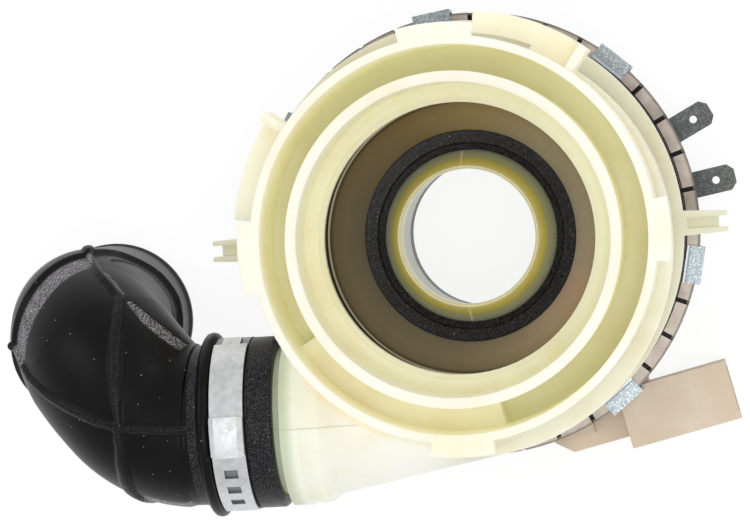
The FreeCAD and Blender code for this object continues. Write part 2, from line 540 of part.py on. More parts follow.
def build_heater_plate():
    """Deep-drawn dish: a flat rim, an annular hump and a neck round the suction nozzle."""
    body = new_body("heater_plate")
    lean = (size("crest_in_r") - size("neck_r")) / (size("crest_z") - size("neck_top_z"))
    # The cone's dry side lies one sheet thickness away, measured square to the cone
    stretch = math.sqrt(1 + lean * lean)
    crest_inset = size("plate_wall") * (stretch - lean)
    neck_drop = size("plate_wall") * (stretch - 1) / lean
    dry_crest = "crest_in_r + %.4f" % crest_inset
    dry_neck = "neck_top_z - %.4f" % neck_drop
    turn_profile(body, "dish", [("plate_r", "plate_z"), ("plate_r", PLATE_TOP), ("hump_r", PLATE_TOP),
                                ("hump_r", "hump_shoulder_z"), ("crest_out_r", "crest_z"), ("crest_in_r", "crest_z"),
                                ("neck_r", "neck_top_z"), ("neck_r", "neck_end_z"),
                                ("neck_r + plate_wall", "neck_end_z"), ("neck_r + plate_wall", dry_neck),
                                (dry_crest, "crest_z - plate_wall"),
                                ("crest_out_r - plate_wall / 2", "crest_z - plate_wall"),
                                ("hump_r - plate_wall", "hump_shoulder_z - plate_wall / 2"),
                                ("hump_r - plate_wall", "plate_z")])
    round_edges(body, "draw_radius", [(size("hump_r"), size("plate_z") + size("plate_wall")),
                                      (size("hump_r"), size("hump_shoulder_z")),
                                      (size("crest_out_r"), size("crest_z"))], 1.5)
    return body


def build_rim():
    """Gasket, tab ring and U clips that hold the heater plate to the housing foot."""
    gasket = new_body("rim_gasket")
    turn_profile(gasket, "profile", [("gasket_inner_r", PLATE_TOP), ("plate_r", PLATE_TOP), ("plate_r", LIP_TOP),
                                     ("gasket_collar_r", LIP_TOP), ("gasket_collar_r", LIP_TOP + " + gasket_collar_height"),
                                     ("skirt_r + fit_gap", LIP_TOP + " + gasket_collar_height"),
                                     ("skirt_r + fit_gap", FOOT_TOP), ("foot_r + fit_gap", FOOT_TOP),
                                     ("foot_r + fit_gap", FOOT_LOW), ("gasket_inner_r", FOOT_LOW)])
    ring = new_body("rim_ring")
    turn_profile(ring, "profile", [("ring_inner_r", "plate_z - ring_wall"), (WEB_OUT_R, "plate_z - ring_wall"),
                                   (WEB_OUT_R, TAB_TOP), ("tab_reach_r", TAB_TOP), ("tab_reach_r", LIP_TOP),
                                   (WEB_IN_R, LIP_TOP), (WEB_IN_R, "plate_z"), ("ring_inner_r", "plate_z")])
    slit_x = ("tab_reach_r - 1", WEB_OUT_R + " + 1")
    slit = extrude(ring, "slit", "ring_wall + gasket_lip + foot_height + gasket_wall",
                   corners=[(slit_x[0], "-tab_gap / 2"), (slit_x[1], "-tab_gap / 2"), (slit_x[1], "tab_gap / 2"),
                            (slit_x[0], "tab_gap / 2")], cuts=True, plane="XY_Plane",
                   base=("0", "0", "plate_z + plate_wall + tab_slit_low"), turn="tab_phase", turn_axis=UP)
    repeat_round(ring, "tabs", [slit], "tab_count", (slit.Profile[0], ["N_Axis"]))

    # Each clip straddles a gap between two tabs: gap numbers counted from the first
    clips = []
    for number, gap in enumerate((10, 5, -1, -5, 15, 20, 25), start=1):
        clip = new_body("rim_clip_%d" % number)
        clip_low = "(plate_z - ring_wall - clip_wall)"
        clip_top = "(" + TAB_TOP + " + clip_wall)"
        section = [("tab_reach_r", TAB_TOP), ("tab_reach_r", clip_top + " + clip_curl"),
                   ("tab_reach_r + clip_wall / 2", clip_top + " + clip_curl"), ("tab_reach_r + clip_wall", clip_top),
                   (CLIP_IN_R + " + clip_wall", clip_top), (CLIP_IN_R + " + clip_wall", clip_low),
                   ("ring_inner_r", clip_low), ("ring_inner_r", "plate_z - ring_wall"),
                   (CLIP_IN_R, "plate_z - ring_wall"), (CLIP_IN_R, TAB_TOP)]
        extrude(clip, "section", "clip_width", corners=section, symmetric=True,
                turn="tab_phase + 360 / tab_count * %d" % gap, turn_axis=Vector(0, 1, 0))
        clips.append(clip)
    return [gasket, ring] + clips


def build_suction():
    """Suction nozzle, its seal in the heater plate's neck and the seal at the sump end."""
    nozzle = new_body("suction_nozzle")
    flange_low = "nozzle_flange_z - nozzle_flange_wall"
    turn_profile(nozzle, "profile", [("nozzle_bore_r", "nozzle_top_z - 3"), ("nozzle_bore_r", "nozzle_top_z - 0.4"),
                                     ("nozzle_bore_r + 0.4", "nozzle_top_z"), ("nozzle_lip_r - 0.2", "nozzle_top_z"),
                                     ("nozzle_lip_r", "nozzle_top_z - 0.4"), ("nozzle_r", "nozzle_root_z"),
                                     ("nozzle_r", "nozzle_flange_z"), ("nozzle_flange_r", "nozzle_flange_z"),
                                     ("nozzle_flange_r", flange_low), ("nozzle_spigot_r", flange_low),
                                     ("nozzle_spigot_r", "nozzle_end_z"), ("nozzle_end_r", "nozzle_end_z")])
    seal = new_body("nozzle_seal")
    seal_in = "nozzle_r + fit_gap"
    seal_out = "neck_r - fit_gap"
    turn_profile(seal, "profile", [(seal_in, "nozzle_flange_z"), ("nozzle_flange_r", "nozzle_flange_z"),
                                   ("nozzle_flange_r", "neck_end_z"), (seal_out, "neck_end_z"),
                                   (seal_out, "neck_top_z - 0.2"), ("nozzle_r + 1.9", "neck_top_z - 0.5"),
                                   ("nozzle_r + 1.5", "nozzle_root_z + 0.2"), (seal_in, "nozzle_root_z - 0.3")])
    sleeve = new_body("suction_seal")
    sleeve_top = "suction_length + suction_bead"
    turn_profile(sleeve, "profile", [("suction_bore_r", "0"), ("suction_r", "0"), ("suction_r", "suction_length"),
                                     ("suction_bead_r", "suction_length"), ("suction_bead_r", sleeve_top),
                                     ("nozzle_spigot_r + fit_gap", sleeve_top),
                                     ("nozzle_spigot_r + fit_gap", "nozzle_end_z"), ("suction_bore_r", "nozzle_end_z")])
    return [nozzle, seal, sleeve]


def heading(degrees):
    """Level unit vector at an angle from X."""
    return Vector(math.cos(math.radians(degrees)), math.sin(math.radians(degrees)), 0)


def tube(radius, position, course, steps):
    """Round bar along straights and bends: a step is a length, or a bend as (radius, side, degrees)."""
    runs = []
    for step in steps:
        disc = Part.Face(Part.Wire(Part.makeCircle(radius, position, course)))
        if isinstance(step, tuple):
            bend_r, side, degrees = step
            centre = position + side * bend_r
            axis = course.cross(side)
            runs.append(disc.revolve(centre, axis, degrees))
            turn = FreeCAD.Rotation(axis, degrees)
            position = centre + turn.multVec(position - centre)
            course = turn.multVec(course)
        else:
            runs.append(disc.extrude(course * step))
            position = position + course * step
    return runs[0].fuse(runs[1:])


def build_heater_ends():
    """Heating tube under the crest, with its ceramic beads and spade terminals."""
    lean = (size("crest_in_r") - size("neck_r")) / (size("crest_z") - size("neck_top_z"))
    stretch = math.sqrt(1 + lean * lean)
    ring_r = size("neck_r") + lean * (size("tube_z") - size("neck_top_z"))
    ring_r += stretch * (size("plate_wall") + size("tube_r") + size("fit_gap"))
    turn = size("tube_bend")
    swing = math.degrees(math.atan2(turn, ring_r))
    drop_r = math.hypot(ring_r, turn)
    reach = turn + size("lead_length")
    column = size("tube_z") - size("lead_z") - 2 * turn

    ring_from = size("lead_place_a") + swing
    ring_to = size("lead_place_b") - swing
    course_a = heading(size("lead_course_a"))
    course_b = heading(size("lead_course_b"))
    tip_a = heading(size("lead_place_a")) * drop_r + course_a * reach + UP * size("lead_z")
    tip_b = heading(size("lead_place_b")) * drop_r + course_b * reach + UP * size("lead_z")
    steps = [size("lead_length"), (turn, UP, 90), column, (turn, heading(ring_from + 90), 90),
             (ring_r, heading(ring_from) * -1, 360 + ring_to - ring_from), (turn, UP * -1, 90), column,
             (turn, course_b, 90), size("lead_length")]
    items = [feature_shape("heating_tube", tube(size("tube_r"), tip_a, course_a * -1, steps))]

    for number, (tip, course) in enumerate(((tip_a, course_a), (tip_b, course_b)), start=1):
        place = FreeCAD.Placement(tip, FreeCAD.Rotation(Vector(1, 0, 0), course))
        bead = new_body("terminal_bead_%d" % number)
        turn_profile(bead, "profile", [("0", "pin_r + fit_gap"), ("0", "bead_r"), ("bead_length - bead_chamfer", "bead_r"),
                                       ("bead_length", "bead_r - bead_chamfer"), ("bead_length", "pin_r + fit_gap")],
                     plane="XY_Plane", axis="H_Axis")
        bead.Placement = place
        blade = new_body("terminal_blade_%d" % number)
        turn_profile(blade, "pin", [("0", "0"), ("0", "pin_r"), ("blade_start + pin_lap", "pin_r"),
                                    ("blade_start + pin_lap", "0")], plane="XY_Plane", axis="H_Axis")
        half = "blade_width / 2"
        extrude(blade, "flat", "blade_wall", corners=[
            ("blade_start", "-" + half), ("blade_end - blade_chamfer", "-" + half),
            ("blade_end", "-%s + blade_chamfer" % half), ("blade_end", half + " - blade_chamfer"),
            ("blade_end - blade_chamfer", half), ("blade_start", half)], plane="XY_Plane",
            base=("0", "0", "-blade_wall / 2"))
        extrude(blade, "hole", "blade_wall", circle=("blade_hole_r", ("blade_end - blade_hole_back", "0")), cuts=True,
                plane="XY_Plane", base=("0", "0", "-blade_wall / 2"))
        blade.Placement = place
        items += [bead, blade]
    return items


def build_connector():
    """Beige socket with its sensor holder, the contact pins, the limiter and the sensor."""
    place = FreeCAD.Placement(heading(size("socket_place")) * (size("plate_r") + size("socket_offset")),
                              FreeCAD.Rotation(UP, size("socket_turn")))
    body = new_body("connector_housing")
    half_long = "socket_length / 2"
    half_wide = "socket_width / 2"
    extrude(body, "block", "socket_height", corners=[
        ("-" + half_long, "-" + half_wide), (half_long, "-" + half_wide), (half_long, half_wide),
        ("-" + half_long, half_wide)], plane="XY_Plane", base=("0", "0", "socket_low_z"))
    lip = "socket_wall / 2"
    extrude(body, "lip", "socket_wall", corners=[
        ("-" + half_long, "-%s - %s" % (half_wide, lip)), (half_long, "-%s - %s" % (half_wide, lip)),
        (half_long, "-" + half_wide + " + 1"), ("-" + half_long, "-" + half_wide + " + 1")], plane="XY_Plane",
        base=("0", "0", "socket_low_z"))
    holder_top = "holder_low_z + holder_wall"
    extrude(body, "holder", "holder_wall", corners=[
        ("-%s + 1" % half_long, "-4.3"), ("limiter_along - 5.5", "-4.3"), ("limiter_along - 9.5", "-0.8"),
        ("limiter_along - 8.5", "limiter_across + limiter_r"), ("limiter_along - 2", "limiter_across + limiter_r + 2.4"),
        ("sensor_along - sensor_r", "sensor_across + sensor_r + 2.4"),
        ("sensor_along + sensor_r + 2", "sensor_across + sensor_r"), ("-%s + 8" % half_long, half_wide + " - 1"),
        ("-%s + 8" % half_long, "-4.3")], plane="XY_Plane", base=("0", "0", "holder_low_z"))
    extrude(body, "rim_rest", "plate_z - ring_wall - (holder_low_z + holder_wall) + 1", corners=[
        ("limiter_along - 6", "-1"), ("limiter_along + 1", "-1"), ("limiter_along + 1", "3.2"),
        ("limiter_along - 6", "3.2")], plane="XY_Plane", base=("0", "0", holder_top + " - 1"))
    extrude(body, "limiter_cup", "cup_depth", circle=("limiter_r + fit_gap", ("limiter_along", "limiter_across")),
            cuts=True, plane="XY_Plane", base=("0", "0", holder_top + " - cup_depth"))
    extrude(body, "sensor_cup", "cup_depth", circle=("sensor_r + fit_gap", ("sensor_along", "sensor_across")),
            cuts=True, plane="XY_Plane", base=("0", "0", holder_top + " - cup_depth"))
    mouth_start = "(socket_length / 2 - socket_depth)"
    extrude(body, "mouth", "socket_height - 2 * socket_wall", corners=[
        (mouth_start, "-%s + socket_wall" % half_wide), (half_long + " + 1", "-%s + socket_wall" % half_wide),
        (half_long + " + 1", half_wide + " - socket_wall"), (mouth_start, half_wide + " - socket_wall")],
        cuts=True, plane="XY_Plane", base=("0", "0", "socket_low_z + socket_wall"))
    body.Placement = place

    side = size("contact_side")
    middle_z = size("socket_low_z") + size("socket_height") / 2
    start_x = size("socket_length") / 2 - size("socket_depth")
    count = int(size("contact_count"))
    contacts = []
    for number in range(count):
        shift_y = (number - (count - 1) / 2) * size("contact_pitch")
        corner = Vector(start_x, shift_y - side / 2, middle_z - side / 2)
        contacts.append(Part.makeBox(size("contact_length"), side, side, corner))
    pins = feature_shape("connector_pins", Part.makeCompound(contacts))
    pins.Placement = place

    seat_z = size("holder_low_z") + size("holder_wall") - size("cup_depth")
    items = [body, pins]
    for label, radius in (("thermal_limiter", "limiter_r"), ("temperature_sensor", "sensor_r")):
        key = radius.split("_")[0]
        piece = new_body(label)
        turn_profile(piece, "profile", [("0", "%.3f" % seat_z), (radius, "%.3f" % seat_z), (radius, "plate_z - 1.2"),
                                        (radius + " - 0.5", "plate_z - 1.2"), (radius + " - 0.5", "plate_z"),
                                        ("0", "plate_z")])
        spot = Vector(size(key + "_along"), size(key + "_across"), 0)
        piece.Placement = FreeCAD.Placement(place.multVec(spot), place.Rotation)
        items.append(piece)
    return items


def build_elbow():
    """Rubber elbow: level at the outlet, swings in plan and dives to the suction end's level."""
    axis_y = size("outlet_y")
    axis_z = size("outlet_z")
    mouth_x = size("elbow_mouth_x")
    seat_x = mouth_x - size("elbow_ring")
    bead_x = seat_x - size("clamp_seat")
    neck_x = bead_x - size("elbow_bead")
    start = Vector(neck_x - size("elbow_neck"), axis_y, axis_z)
    body_r = size("elbow_body_r")
    dive_r = body_r + size("dive_inner_r")
    steps = [(body_r + size("swing_inner_r"), Vector(0, 1, 0), size("elbow_swing")), (dive_r, UP * -1, 90),
             axis_z - dive_r]

    def hose(radius, overlap=0):
        """The bend and the leg; an overlap lets it begin inside the straight part."""
        lead = [overlap] if overlap else []
        return tube(radius, start + Vector(overlap, 0, 0), Vector(-1, 0, 0), lead + steps)

    def turned(corners):
        """Solid turned about the outlet axis from pairs of X and radius."""
        points = [Vector(x, axis_y + radius, axis_z) for x, radius in corners]
        face = Part.Face(Part.makePolygon(points + points[:1]))
        return face.revolve(Vector(0, axis_y, axis_z), Vector(1, 0, 0), 360)

    bead_r = size("elbow_bead_r")
    corner = size("elbow_bead") / 4
    neck = turned([(mouth_x, 0), (mouth_x, size("elbow_r")), (seat_x, size("elbow_r")), (seat_x, size("clamp_seat_r")),
                   (bead_x, size("clamp_seat_r")), (bead_x, bead_r - corner), (bead_x - corner, bead_r),
                   (neck_x + corner, bead_r), (neck_x, bead_r - corner), (neck_x, size("elbow_neck_r")),
                   (start.x, size("elbow_neck_r")), (start.x, 0)])

    def rib(course):
        """Upright wall along a line in plan, given in hose radii from the start of the bend."""
        line = [Vector(start.x + x * body_r, axis_y + y * body_r, 0) for x, y in course]
        last = len(line) - 1
        half = size("elbow_rib_width") / 2
        sides = [(line[min(k + 1, last)] - line[max(k - 1, 0)]).cross(UP).normalize() * half for k in range(last + 1)]
        corners = [point + side for point, side in zip(line, sides)]
        corners += [point - side for point, side in zip(reversed(line), reversed(sides))]
        return Part.Face(Part.makePolygon(corners + corners[:1])).extrude(UP * (axis_z + 2 * body_r))

    # The spine rib follows the mould parting in plan, the nub rib leaves the cross rib for the leg's far side
    cross = -size("cross_rib") / body_r
    ribs = [rib([(cross, -2), (cross, 3)]), rib([(0, 0.03), (-0.83, 0.1), (-1.59, 0.33), (-2.17, 0.67), (-2.9, 1.3)]),
            rib([(cross, 1.72), (cross - 1.1, 2.75)])]

    body = hose(body_r)
    envelope = hose(body_r + size("elbow_rib"))
    for strip in ribs:
        body = body.fuse(envelope.common(strip))
    body = body.fuse(neck)
    room_r = size("spigot_r") + size("fit_gap")
    room_x = size("spigot_end_x") - 0.3
    spigot_room = turned([(mouth_x + 1, 0), (mouth_x + 1, room_r), (room_x, room_r), (room_x, 0)])
    body = body.cut(spigot_room).cut(hose(size("elbow_bore_r"), start.distanceToPoint(Vector(room_x + 1, axis_y, axis_z))))
    return feature_shape("rubber_elbow", body)


def build_clamp():
    """Band clamp on the elbow: a lapped band with three windows and a raised hook."""
    body = new_body("hose_clamp")
    outlet = {"plane": "XY_Plane", "base": ("0", "outlet_y", "outlet_z"), "axis": "H_Axis",
              "turn_axis": Vector(1, 0, 0)}
    band_mid = "(elbow_mouth_x - elbow_ring - clamp_seat / 2)"
    band_low = band_mid + " - clamp_width / 2"
    band_high = band_mid + " + clamp_width / 2"
    inner_r = "(clamp_seat_r + clamp_play)"
    middle_r = "(clamp_seat_r + clamp_play + clamp_wall)"
    outer_r = "(clamp_seat_r + clamp_play + 2 * clamp_wall)"
    turn_profile(body, "band", [(band_low, inner_r), (band_high, inner_r), (band_high, middle_r),
                                (band_low, middle_r)], turn="clamp_lap_mid", **outlet)
    inside = middle_r + " - clamp_wall / 2"
    turn_profile(body, "lap", [(band_low, inside), (band_high, inside), (band_high, outer_r), (band_low, outer_r)],
                 angle="clamp_lap", turn="clamp_lap_mid", **outlet)
    tongue_low = band_mid + " - clamp_tongue_width / 2"
    tongue_high = band_mid + " + clamp_tongue_width / 2"
    turn_profile(body, "tongue", [(tongue_low, inside), (tongue_high, inside), (tongue_high, outer_r),
                                  (tongue_low, outer_r)], angle="clamp_tongue",
                 turn="clamp_lap_mid - clamp_lap / 2 - clamp_tongue / 2 + 1", **outlet)
    window_low = band_mid + " - window_width / 2"
    window_high = band_mid + " + window_width / 2"
    window = turn_profile(body, "window", [(window_low, middle_r), (window_high, middle_r),
                                           (window_high, outer_r + " + 1"), (window_low, outer_r + " + 1")],
                          angle="window_angle", turn="window_first", cuts=True, **outlet)
    repeat_round(body, "windows", [window], "window_count", (window.Profile[0], ["H_Axis"]),
                 angle="window_pitch * (window_count - 1)")
    turn_profile(body, "hook", [(band_low, inside), (band_high, inside), (band_high, outer_r + " + hook_height * 0.5"),
                                (band_high + " - 1.2", outer_r + " + hook_height"),
                                (band_low + " + 1.2", outer_r + " + hook_height"),
                                (band_low, outer_r + " + hook_height * 0.5")],
                 angle="hook_angle", turn="hook_mid", **outlet)
    oval_low = band_mid + " - 0.8"
    oval_high = band_mid + " + 0.8"
    oval_r = outer_r + " + hook_height"
    turn_profile(body, "hook_oval", [(oval_low, oval_r + " - 0.5"), (oval_high, oval_r + " - 0.5"),
                                     (oval_high, oval_r + " + 0.4"), (oval_low, oval_r + " + 0.4")],
                 angle="hook_angle * 0.7", turn="hook_mid", **outlet)
    return body


pieces = [build_housing(), build_heater_plate()]
pieces += build_rim()
pieces += build_suction()
pieces += build_heater_ends()
pieces += build_connector()
pieces += [build_elbow(), build_clamp()]
doc.recompute()

for item in doc.Objects:
    if "Invalid" in item.State or "Error" in item.State:
        raise RuntimeError("failed object: " + item.Label)
for piece in pieces:
    if piece.Shape.isNull() or not piece.Shape.isValid():
        raise RuntimeError("bad shape: " + piece.Label)

os.makedirs("parts", exist_ok=True)
for piece in pieces:
    piece.Shape.exportStep("parts/" + piece.Label + ".step")
    box = piece.Shape.BoundBox
    print("%-20s solids %d  volume %9.1f  x %.1f..%.1f  y %.1f..%.1f  z %.1f..%.1f" % (
        piece.Label, len(piece.Shape.Solids), piece.Shape.Volume, box.XMin, box.XMax, box.YMin, box.YMax,
        box.ZMin, box.ZMax))
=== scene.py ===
import math

import bpy
import numpy as np
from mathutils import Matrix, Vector


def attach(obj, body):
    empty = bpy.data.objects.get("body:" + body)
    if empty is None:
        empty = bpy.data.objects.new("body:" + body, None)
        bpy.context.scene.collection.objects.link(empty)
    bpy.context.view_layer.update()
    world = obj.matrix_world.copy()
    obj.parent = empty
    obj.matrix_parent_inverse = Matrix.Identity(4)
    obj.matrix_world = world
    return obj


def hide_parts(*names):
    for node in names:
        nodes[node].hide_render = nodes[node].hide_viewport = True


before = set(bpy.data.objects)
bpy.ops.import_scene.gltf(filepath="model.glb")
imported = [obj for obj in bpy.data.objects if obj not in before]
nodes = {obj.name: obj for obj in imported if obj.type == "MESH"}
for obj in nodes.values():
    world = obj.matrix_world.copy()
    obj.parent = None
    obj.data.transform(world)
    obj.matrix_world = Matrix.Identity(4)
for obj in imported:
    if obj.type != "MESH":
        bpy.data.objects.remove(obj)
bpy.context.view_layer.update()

# Camera: a long lens far above the open collar, a little to the right of the pump axis, as the
# pump was photographed lying on its suction end. The picture is turned a few degrees.
camera = bpy.data.objects.new("camera", bpy.data.cameras.new("camera"))
bpy.context.scene.collection.objects.link(camera)
camera.location = (0.07342, 0.01228, 0.75333)
camera.rotation_euler = (math.radians(-1.886), math.radians(7.536), math.radians(-3.626))
camera.data.sensor_width = 36.0
camera.data.lens = 148.05
camera.data.clip_start = 0.01
camera.data.clip_end = 20.0
bpy.context.scene.camera = camera


# Studio: a white sweep under the pump and three soft boxes above it. The camera and mirror-like
# surfaces see the sweep as white paper, and it keeps the soft shadow of the part.
def linear(code):
    """sRGB hex code to linear red, green, blue and full alpha, by the standard two-part curve."""
    channels = np.array([int(code[i:i + 2], 16) for i in (1, 3, 5)]) / 255.0
    curve = np.where(channels <= 0.04045, channels / 12.92, ((channels + 0.055) / 1.055) ** 2.4)
    return tuple(curve) + (1.0,)


def add_node(tree, kind, *inputs, stops=(), **settings):
    """Adds one shader node and returns it. Inputs fill its sockets in order, settings name its
    properties or sockets, and stops are the places and hex colours of a ramp."""
    node = tree.nodes.new("ShaderNode" + kind)
    for name in [name for name in settings if hasattr(node, name)]:
        setattr(node, name, settings.pop(name))
    sockets = [socket for socket in node.inputs if socket.enabled]
    values = list(zip(sockets, inputs))
    for name, value in settings.items():
        label = name.replace("_", " ")
        values.append((next(socket for socket in sockets if socket.name == label), value))
    for socket, value in values:
        if isinstance(value, bpy.types.Node):
            value = next(output for output in value.outputs if output.enabled)
        if isinstance(value, bpy.types.NodeSocket):
            tree.links.new(value, socket)
        else:
            socket.default_value = linear(value) if isinstance(value, str) else value
    if stops:
        elements = node.color_ramp.elements
        while len(elements) < len(stops):
            elements.new(0.5)
        for element, (position, code) in zip(elements, stops):
            element.position = position
            element.color = linear(code)
    return node


def new_material(name):
    """Empty node material with its output node; returns the material, its tree and the output."""
    material = bpy.data.materials.new(name)
    material.use_nodes = True
    material.node_tree.nodes.clear()
    return material, material.node_tree, material.node_tree.nodes.new("ShaderNodeOutputMaterial")


paper, tree, output = new_material("white_paper_sweep")
path = add_node(tree, "LightPath")
seen = add_node(tree, "Math", path.outputs["Is Camera Ray"], path.outputs["Is Glossy Ray"],
                operation="MAXIMUM")
seen = add_node(tree, "Math", seen.outputs[0], path.outputs["Is Transmission Ray"], operation="MAXIMUM")
plain = add_node(tree, "BsdfDiffuse", Color="#F2F2F2")
shaded = add_node(tree, "BsdfDiffuse", Color="#707070")
glow = add_node(tree, "Emission", Color="#FFFFFF", Strength=0.88)
white = add_node(tree, "AddShader", shaded.outputs[0], glow.outputs[0])
mixed = add_node(tree, "MixShader", seen.outputs[0], plain.outputs[0], white.outputs[0])
tree.links.new(mixed.outputs[0], output.inputs["Surface"])

floor_mesh = bpy.data.meshes.new("floor")
floor_half = 3.0
floor_mesh.from_pydata([(-floor_half, -floor_half, 0), (floor_half, -floor_half, 0),
                        (floor_half, floor_half, 0), (-floor_half, floor_half, 0)], [], [(0, 1, 2, 3)])
floor_mesh.materials.append(paper)
floor = bpy.data.objects.new("floor", floor_mesh)
bpy.context.scene.collection.objects.link(floor)

world = bpy.data.worlds.new("studio_air")
bpy.context.scene.world = world
world.use_nodes = True
world.node_tree.nodes.clear()
world_output = world.node_tree.nodes.new("ShaderNodeOutputWorld")
path = add_node(world.node_tree, "LightPath")
level = add_node(world.node_tree, "MapRange", Value=path.outputs["Is Camera Ray"], To_Min=0.74, To_Max=1.0)
air = add_node(world.node_tree, "Background", Strength=level.outputs[0], Color="#FFFFFF")
world.node_tree.links.new(air.outputs[0], world_output.inputs["Surface"])

for name, place, aim, side, watts in (("soft_box_top", (0.15, -0.25, 1.2), (0, 0, 0.03), 0.35, 2.6),
                                      ("soft_box_left", (-0.8, 0.5, 0.8), (0, 0, 0.03), 0.6, 1.4),
                                      ("soft_box_right", (0.8, 0.6, 0.7), (0, 0, 0.03), 0.5, 1.2)):
    lamp = bpy.data.lights.new(name, "AREA")
    lamp.size = side
    lamp.energy = watts
    box = bpy.data.objects.new(name, lamp)
    box.location = place
    box.rotation_euler = (Vector(place) - Vector(aim)).to_track_quat("Z", "Y").to_euler()
    bpy.context.scene.collection.objects.link(box)
bpy.context.scene.view_settings.view_transform = "Standard"


# Pump housing: one moulding of natural polypropylene, milky and slightly translucent, with a
# satin skin from the polished mould. Painted shade turns the deep groove yellow-green and the
# casing and flange low down grey-green, while the rims stay almost white. The outlet cone keeps its
# parting line.
def dress(node_names, material, crease=30.0):
    """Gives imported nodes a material; their triangles are welded and smoothed up to the crease angle."""
    for node_name in node_names:
        node = nodes[node_name]
        node.data.materials.clear()
        node.data.materials.append(material)
        node.data.polygons.foreach_set("use_smooth", np.ones(len(node.data.polygons), dtype=bool))
        node.modifiers.new("weld", "WELD").merge_threshold = 2e-6
        split = node.modifiers.new("creases", "EDGE_SPLIT")
        split.split_angle = math.radians(crease)


def coordinates(tree):
    """Object coordinates, their three parts and the distance from the pump axis, in metres."""
    place = add_node(tree, "TexCoord").outputs["Object"]
    parts = add_node(tree, "SeparateXYZ", place).outputs
    flat = add_node(tree, "CombineXYZ", X=parts["X"], Y=parts["Y"])
    radius = add_node(tree, "VectorMath", flat.outputs[0], operation="LENGTH").outputs["Value"]
    return place, parts["X"], parts["Y"], parts["Z"], radius


# Where the outlet's level axis lies, and how high the collar's rim is
outlet_y, outlet_z = -0.0400, 0.0490
rim_z = 0.0765


def from_outlet_axis(tree, y, z):
    """Sideways offset from the outlet's level axis and the distance from it, in metres."""
    across = add_node(tree, "Math", y, outlet_y, operation="SUBTRACT")
    above = add_node(tree, "Math", z, outlet_z, operation="SUBTRACT")
    offset = add_node(tree, "CombineXYZ", Y=across, Z=above)
    return across, add_node(tree, "VectorMath", offset, operation="LENGTH").outputs["Value"]


polypropylene, tree, output = new_material("natural_polypropylene")
place, x, y, z, radius = coordinates(tree)
# Inside the collar painted shade turns it yellow-green in the deep groove; it is almost white at the rim
height = add_node(tree, "MapRange", z, 0.050, rim_z, interpolation_type="SMOOTHSTEP")
inner = add_node(tree, "ValToRGB", height, stops=[(0.0, "#E3E0B4"), (0.12, "#E6E3BA"), (0.3, "#E9E6C2"),
                                                  (0.62, "#ECE8C8"), (0.93, "#F1EDD4"), (1.0, "#F5F1E0")])
# Outside the collar painted shade makes it grey-green low down; it is pale towards the rim
height = add_node(tree, "MapRange", z, 0.012, rim_z, interpolation_type="SMOOTHSTEP")
outer = add_node(tree, "ValToRGB", height, stops=[(0.0, "#D0CEB8"), (0.5, "#D6D4BE"), (0.72, "#DAD9C4"),
                                                  (0.8, "#EDEAD3"), (1.0, "#F4F0DE")])
past_collar = add_node(tree, "MapRange", radius, 0.0442, 0.0454, interpolation_type="SMOOTHSTEP")
shell = add_node(tree, "Mix", past_collar, inner, outer, data_type="RGBA")
# The outlet cone is milkier than the casing, and greener at its end beside the clamp
across, off_axis = from_outlet_axis(tree, y, z)
near_axis = add_node(tree, "MapRange", off_axis, 0.0206, 0.0200, interpolation_type="SMOOTHSTEP")
outlet_side = add_node(tree, "MapRange", x, 0.004, -0.016, interpolation_type="SMOOTHSTEP")
past_casing = add_node(tree, "MapRange", radius, 0.0474, 0.0484, interpolation_type="SMOOTHSTEP")
on_cone = add_node(tree, "Math", near_axis, outlet_side, operation="MULTIPLY")
on_cone = add_node(tree, "Math", on_cone, past_casing, operation="MULTIPLY")
from_end = add_node(tree, "MapRange", x, -0.046, -0.020, interpolation_type="SMOOTHSTEP")
milk = add_node(tree, "ValToRGB", from_end, stops=[(0.0, "#C6CFB2"), (0.08, "#C9D2B6"), (0.16, "#EDF0E0"),
                                                   (0.5, "#F2F4E8"), (1.0, "#F5F5EA")])
body = add_node(tree, "Mix", on_cone, shell, milk, data_type="RGBA")
# Clouds about 18 mm and 7 mm wide, and a few dark specks bound into the plastic
cloud = add_node(tree, "TexNoise", Vector=place, Scale=55.0, Detail=3.0).outputs[0]
warm = add_node(tree, "MapRange", cloud, 0.42, 0.7, To_Max=0.35, interpolation_type="SMOOTHSTEP")
body = add_node(tree, "Mix", warm, body, "#F4E3CE", data_type="RGBA", blend_type="MULTIPLY")
cloud = add_node(tree, "TexNoise", Vector=place, Scale=140.0, Detail=4.0).outputs[0]
cool = add_node(tree, "MapRange", cloud, 0.5, 0.75, To_Max=0.25, interpolation_type="SMOOTHSTEP")
body = add_node(tree, "Mix", cool, body, "#EEF2DE", data_type="RGBA", blend_type="MULTIPLY")
speck = add_node(tree, "TexVoronoi", Vector=place, Scale=75.0).outputs["Distance"]
speck = add_node(tree, "MapRange", speck, 0.022, 0.012, To_Max=0.5, interpolation_type="SMOOTHSTEP")
body = add_node(tree, "Mix", speck, body, "#6E6649", data_type="RGBA")
# Parting line along the top of the cone, about 0.3 mm wide and 0.6 mm off the axis
beside = add_node(tree, "Math", across, 0.0006, operation="ADD")
beside = add_node(tree, "Math", beside, operation="ABSOLUTE")
seam = add_node(tree, "MapRange", beside, 0.0002, 0.00008, interpolation_type="SMOOTHSTEP")
on_top = add_node(tree, "MapRange", z, 0.0565, 0.057, interpolation_type="SMOOTHSTEP")
short_of_collar = add_node(tree, "MapRange", x, -0.0245, -0.0255, interpolation_type="SMOOTHSTEP")
for limit in (on_top, short_of_collar, on_cone):
    seam = add_node(tree, "Math", seam, limit, operation="MULTIPLY")
seam_share = add_node(tree, "Math", seam, 0.45, operation="MULTIPLY")
body = add_node(tree, "Mix", seam_share, body, "#A9A186", data_type="RGBA")
